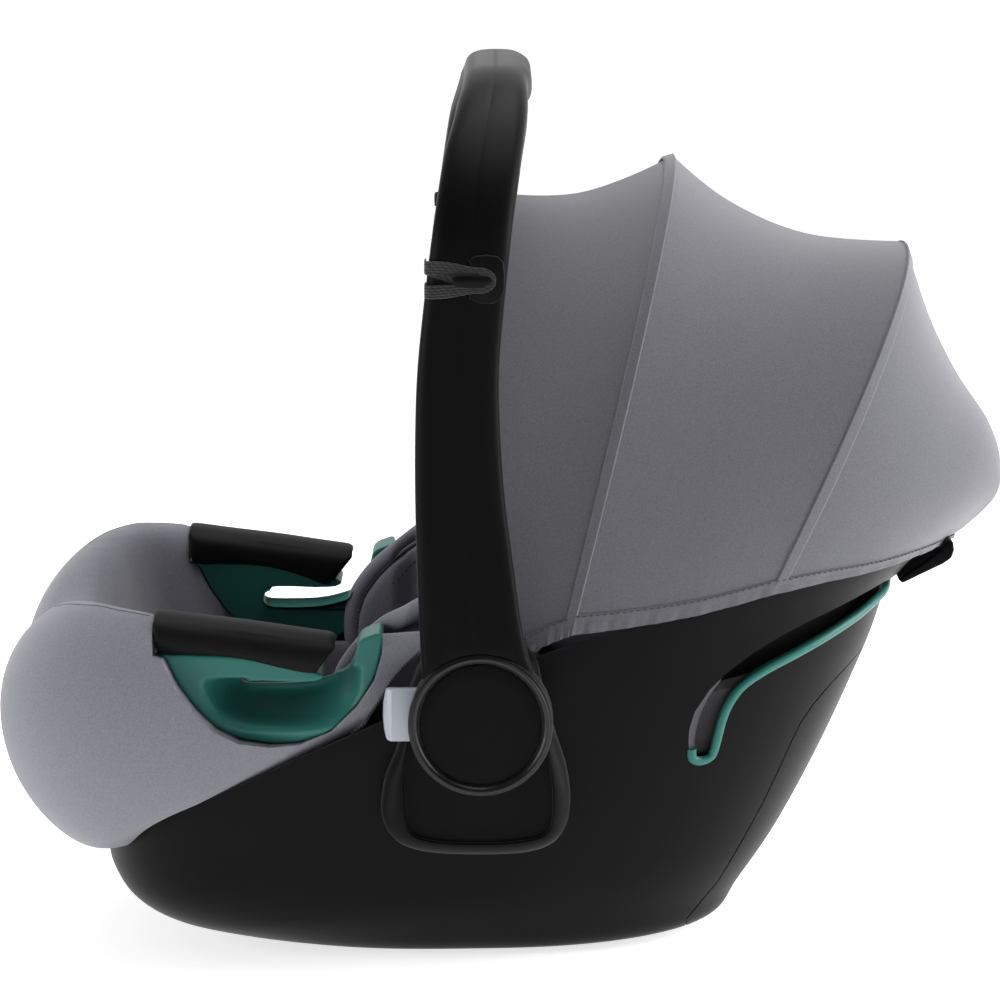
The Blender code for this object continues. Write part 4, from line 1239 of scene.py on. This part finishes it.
def makeInsert(tag, side):
    edge, outer = insert["edge"], insert["wall"]
    inner = outer - insert["thick"]
    outline = [*edge, (0.075, 0.24), (0.075, insert["low"]), (-0.105, insert["low"])]
    pad = outlinePrism("seatInsert_" + tag, smoothLoop(outline, 120), side * inner, side * outer)
    applyMod(pad, "REMESH", mode="VOXEL", voxel_size=insert["voxel"])
    applyMod(pad, "SMOOTH", factor=0.6, iterations=12)
    smoother(pad, 1)
    tuck(pad, side)
    shadeSmooth(pad, 80)
    finishPiece(pad, "carrier", "cover_fabric", coverFabric)
    # an outer roll of fabric with a ribbed cord beside it
    mids = insert["rollFoot"] + [(x - 0.004, z + 0.003) for x, z in edge]
    roll = tubeAlong("insertRoll_" + tag, smoothRun([(x, side * (outer + 0.001), z) for x, z in mids], 90),
                     0.0062, 14)
    tuck(roll, side, 2)
    shadeSmooth(roll, 60)
    finishPiece(roll, "carrier", "cover_fabric", coverFabric)
    cordLine = [(x - 0.0008, side * (inner + 0.0045), z + 0.0008) for x, z in edge]
    cord = tubeAlong("insertCord_" + tag, smoothRun(cordLine, 90), 0.0017, 8)
    tuck(cord, side)
    shadeSmooth(cord, 60)
    finishPiece(cord, "carrier", "cover_fabric", ribBinding)
    sewn = smoothRun([(x + 0.0075, side * inner, z - 0.0062) for x, z in edge], 90)
    stitches = stitchRow("insertStitches_" + tag, onto(pad, sewn), lambda p: Vector((0, -side, 0)))
    finishPiece(stitches, "carrier", "cover_fabric", threadFabric)


def makeLining(tag, side):
    # the side of the seat well below the belt guide
    low, high = insert["lining"]
    panel = outlinePrism("sideLining_" + tag, [(-0.22, high - 0.006), (-0.21, high), (-0.09, high),
                                               (-0.09, low), (-0.19, low)],
                         side * 0.128, side * 0.1375)
    applyMod(panel, "REMESH", mode="VOXEL", voxel_size=insert["voxel"])
    applyMod(panel, "SMOOTH", factor=0.6, iterations=10)
    smoother(panel, 1)
    shadeSmooth(panel, 80)
    finishPiece(panel, "carrier", "cover_fabric", coverFabric)


for tag, side in sides:
    makeInsert(tag, side)
    makeLining(tag, side)


# ---- soft pieces that keep their solid's own form

def softCopy(name, node, body, slot, material, voxel, rounds, pressure, cap, fill=0.7):
    # the node's own solid, rounded, puffed up and dressed
    deselectAll()
    piece = frame["nodes"][node].copy()
    piece.data = piece.data.copy()
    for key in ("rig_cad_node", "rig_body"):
        if key in piece:
            del piece[key]
    piece.parent = None
    bpy.context.collection.objects.link(piece)
    piece.name = piece.data.name = name
    mergeDoubles(piece)
    applyMod(piece, "REMESH", mode="VOXEL", voxel_size=voxel)
    applyMod(piece, "SMOOTH", factor=0.6, iterations=rounds)
    puff(piece, pressure, cap)
    smoother(piece, 1)
    shadeSmooth(piece, 80)
    finishPiece(piece, body, slot, material, node)
    return piece


softCopy("seatPadding", "seat_padding", "carrier", "cover_fabric", coverFabric, 0.0045, 10, 3.0, 0.004)
softCopy("headPad", "headrest", "headrest", "cover_fabric", coverFabric, 0.0035, 6, 4.0, 0.006)
padLook = ("cover_fabric", softPad, 0.0018, 6, 3.0, 0.002)
strapLook = ("webbing", webbing, 0.0009, 2, 0.0, 0.0, None)
for tag, side in sides:
    softCopy("shoulderPad_" + tag, "shoulder_pad_" + tag, "carrier", *padLook)
    softCopy("shoulderStrap_" + tag, "shoulder_strap_" + tag, "carrier", *strapLook)
softCopy("crotchPad", "crotch_pad", "carrier", *padLook)
softCopy("crotchStrap", "crotch_strap", "carrier", *strapLook)
softCopy("adjusterStrap", "adjuster_strap", "carrier", *strapLook)
print("seat padding made")


# ---- canopy

canopy = {
    # each hoop: foot x, z, half width, top x, z
    "hoops": [
        (0.006, 0.216, 0.18, -0.022, 0.5), (0.023, 0.2265, 0.184, 0.045, 0.504),
        (0.04, 0.234, 0.1865, 0.111, 0.5235), (0.075, 0.238, 0.1835, 0.15, 0.4965),
        (0.12, 0.245, 0.1775, 0.205, 0.4735), (0.169, 0.256, 0.1655, 0.268, 0.465),
        (0.205, 0.261, 0.1475, 0.284, 0.418), (0.24, 0.264, 0.1225, 0.304, 0.378),
        (0.268, 0.267, 0.09, 0.326, 0.345), (0.287, 0.268, 0.056, 0.335, 0.318),
        (0.299, 0.266, 0.018, 0.333, 0.293), (0.304, 0.265, 0.0022, 0.312, 0.27),
    ],
    "square": 2.35, "thick": 0.001, "across": 140, "sag": {"Front": 0.006, "Middle": 0.004, "Rear": 0.0},
    "panels": {
        # first and last hoop, rows, what it replaces and rides on, the fabric's width
        "Front": (0, 2, 44, "canopy_front_panel", "canopy_front", 0.8),
        "Middle": (2, 5, 70, "canopy_middle_panel", "carrier", 0.78),
        "Rear": (5, 11, 76, "canopy_rear_panel", "carrier", 0.62),
    },
    "blendStart": (0.04, 0.0, 0.238), "blendEnd": (0.1463, 0.0, 0.1995), "hem": 0.04, "hemOut": 0.0012,
    "middle": Vector((0.1, 0, 0.25)),
}


def hoopPoint(hoop, u, out=0.0):
    xf, zf, half, xt, zt = hoop
    lift = math.sin(math.pi * u) if 0 < u < 1 else 0.0
    rise = lift ** (2 / canopy["square"])
    c = math.cos(math.pi * u)
    y = -half * math.copysign(abs(c) ** (2 / canopy["square"]), c)
    p = Vector((mix(xf, xt, rise), y, mix(zf, zt, rise)))
    return p + (p - canopy["middle"]).normalized() * out


def panelPoint(which, u, w, out=0.0):
    # u round the hoops, w from the panel's first hoop to its last; the fabric sags between them
    first, last = canopy["panels"][which][:2]
    pull = canopy["sag"][which] * math.sin(math.pi * w) * math.sin(math.pi * u) ** 0.8
    return hoopPoint(catmull(canopy["hoops"][first:last + 1], w), u, out - pull)


def riseToU(rise):
    # how far round the hoop a share of its height lies
    return math.asin(min(rise, 1.0) ** (canopy["square"] / 2)) / math.pi


def wearCanopy(piece, which, material, node=None):
    # the fabric follows the folding front bow or the fixed part; the middle panel is attached to neither and
    # keeps its place in its mesh
    settle(piece)
    wear(piece, material)
    if which == "Middle":
        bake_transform(piece)
    else:
        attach(piece, canopy["panels"][which][4])
    if node:
        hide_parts(node)


def makePanel(which):
    rows, node, _, width = canopy["panels"][which][2:]
    piece = onGrid("canopy" + which, canopy["across"], rows, lambda u, w: panelPoint(which, u, w))
    middle = piece.data.polygons[len(piece.data.polygons) // 2]
    if middle.normal.dot(middle.center - canopy["middle"]) < 0:
        flipAll(piece)
    thicken(piece, canopy["thick"])
    shadeSmooth(piece, 50)
    wearCanopy(piece, which, canopyFabric, node)


def makeHem(which, tag, side):
    # a turned hem with a rolled lower edge, and its sewn line
    rows = canopy["panels"][which][2]

    def place(u, w):
        turn = riseToU(canopy["hem"] * u)
        turn = turn if side < 0 else 1 - turn
        wave = 0.0005 * math.sin(w * 37 + canopy["panels"][which][0]) + 0.0003 * math.sin(w * 91 + 2)
        swell = canopy["hemOut"] + wave * (1 - u)
        p = panelPoint(which, turn, w, swell * (1 if u < 0.99 else 0.3))
        p.z -= 0.002 * (1 - smoothstep(u / 0.4))
        return p
    hem = onGrid("hem" + which + "_" + tag, 10, rows, place)
    faceSide(hem, side)
    thicken(hem, 0.0022)
    roundEdges(hem, 0.0008, 3, 50)
    shadeSmooth(hem, 50)
    wearCanopy(hem, which, canopyFabric)
    sewTurn = riseToU(canopy["hem"] * 0.86)
    sewTurn = sewTurn if side < 0 else 1 - sewTurn
    line = [panelPoint(which, sewTurn, k / 60, canopy["hemOut"] + 0.0002) for k in range(61)]
    stitches = stitchRow("hemStitches" + which + "_" + tag, line,
                         lambda p: (p - canopy["middle"]).normalized(), radius=0.0004)
    wearCanopy(stitches, which, threadFabric)


def makeBowStrip(name, which, hoop, width, lift, material):
    # the sewn channel over a bow: a low raised strip with a crisp rear edge
    def place(u, w):
        turn = mix(riseToU(0.02), 1 - riseToU(0.02), w)
        p = hoopPoint(hoop, turn, lift if 0.02 < u < 0.98 else lift - 0.001)
        before = hoopPoint(canopy["hoops"][1] if which == "Front" else canopy["hoops"][4], turn, lift)
        return p + (before - p).normalized() * width * (1 - u) + (p - before).normalized() * 0.0006
    strip = onGrid(name, 12, 160, place)
    faceOut(strip)
    thicken(strip, 0.001, 0)
    shadeSmooth(strip, 50)
    wearCanopy(strip, which, material)


for which in canopy["panels"]:
    makePanel(which)
    for tag, side in sides:
        makeHem(which, tag, side)
makeBowStrip("bowChannelFront", "Front", canopy["hoops"][2], 0.0075, 0.001, canopyFabric)


def makeRearChannel():
    hoop = canopy["hoops"][5]

    def place(u, w):
        turn = mix(riseToU(0.02), 1 - riseToU(0.02), w)
        p = hoopPoint(hoop, turn, 0.0009 if 0.05 < u < 0.95 else 0.0)
        after = hoopPoint(canopy["hoops"][6], turn, 0.0009)
        return p + (after - p).normalized() * 0.0085 * u
    strip = onGrid("bowChannelRear", 12, 160, place)
    faceOut(strip)
    thicken(strip, 0.001, 0)
    shadeSmooth(strip, 50)
    wearCanopy(strip, "Rear", seamFabric)


makeRearChannel()


def makeHemTab(tag, side):
    # the hem's folded front end, held down beside the hub
    def place(u, w):
        x = mix(0.001, 0.019, u)
        z = mix(0.213, 0.225, u) + mix(-0.0045, 0.006, w)
        out = 0.182 + 0.003 * math.sin(math.pi * w) ** 0.7 * (0.7 + 0.3 * math.cos(u * 9))
        return Vector((x, side * out, z))
    tab = onGrid("hemTab_" + tag, 16, 14, place)
    faceSide(tab, side)
    thicken(tab, 0.003)
    roundEdges(tab, 0.001, 3, 50)
    shadeSmooth(tab, 60)
    wearCanopy(tab, "Front", canopyFabric)


for tag, side in sides:
    makeHemTab(tag, side)
print("canopy made")


# ---- the release lever

lever = {
    "outline": [(0.262, 0.2432), (0.2652, 0.2408), (0.278, 0.2472), (0.292, 0.254), (0.2978, 0.258),
                (0.2995, 0.2635), (0.2988, 0.269), (0.2963, 0.2705), (0.2938, 0.268), (0.2898, 0.2634),
                (0.278, 0.2546)],
    "half": 0.055, "edge": 0.0016,
}


def makeLever():
    piece = outlinePrism("releaseLever", lever["outline"], -lever["half"], lever["half"])
    roundEdges(piece, lever["edge"], 4, 30)
    shadeSmooth(piece, 40)
    finishPiece(piece, "release_lever", "shell_plastic", handlePlastic, "release_lever")


makeLever()
print("release lever made")


# ---- finishes of the solids that stay as they are

# the foam liner wears the lining fabric darkened with painted shade
carried = {
    "shell_plastic": shellPlastic, "handle_plastic": handlePlastic, "cap_plastic": capPlastic,
    "liner_foam": shadedLiningFabric, "guide_green": greenPlastic, "cover_fabric": coverFabric,
    "canopy_fabric": canopyFabric, "soft_pad": softPad, "button_plastic": buttonPlastic, "steel": steel,
    "bow_plastic": bowPlastic, "webbing": webbing, "elastic": elasticBand, "buckle_red": buckleRed,
}
for part in frame["record"]["subparts"]:
    piece = frame["nodes"].get(part.get("node") or part.get("name"))
    if piece:
        for holder in piece.material_slots:
            holder.material = carried[part["material_slot"]]
print("carried solids dressed")

deselectAll()
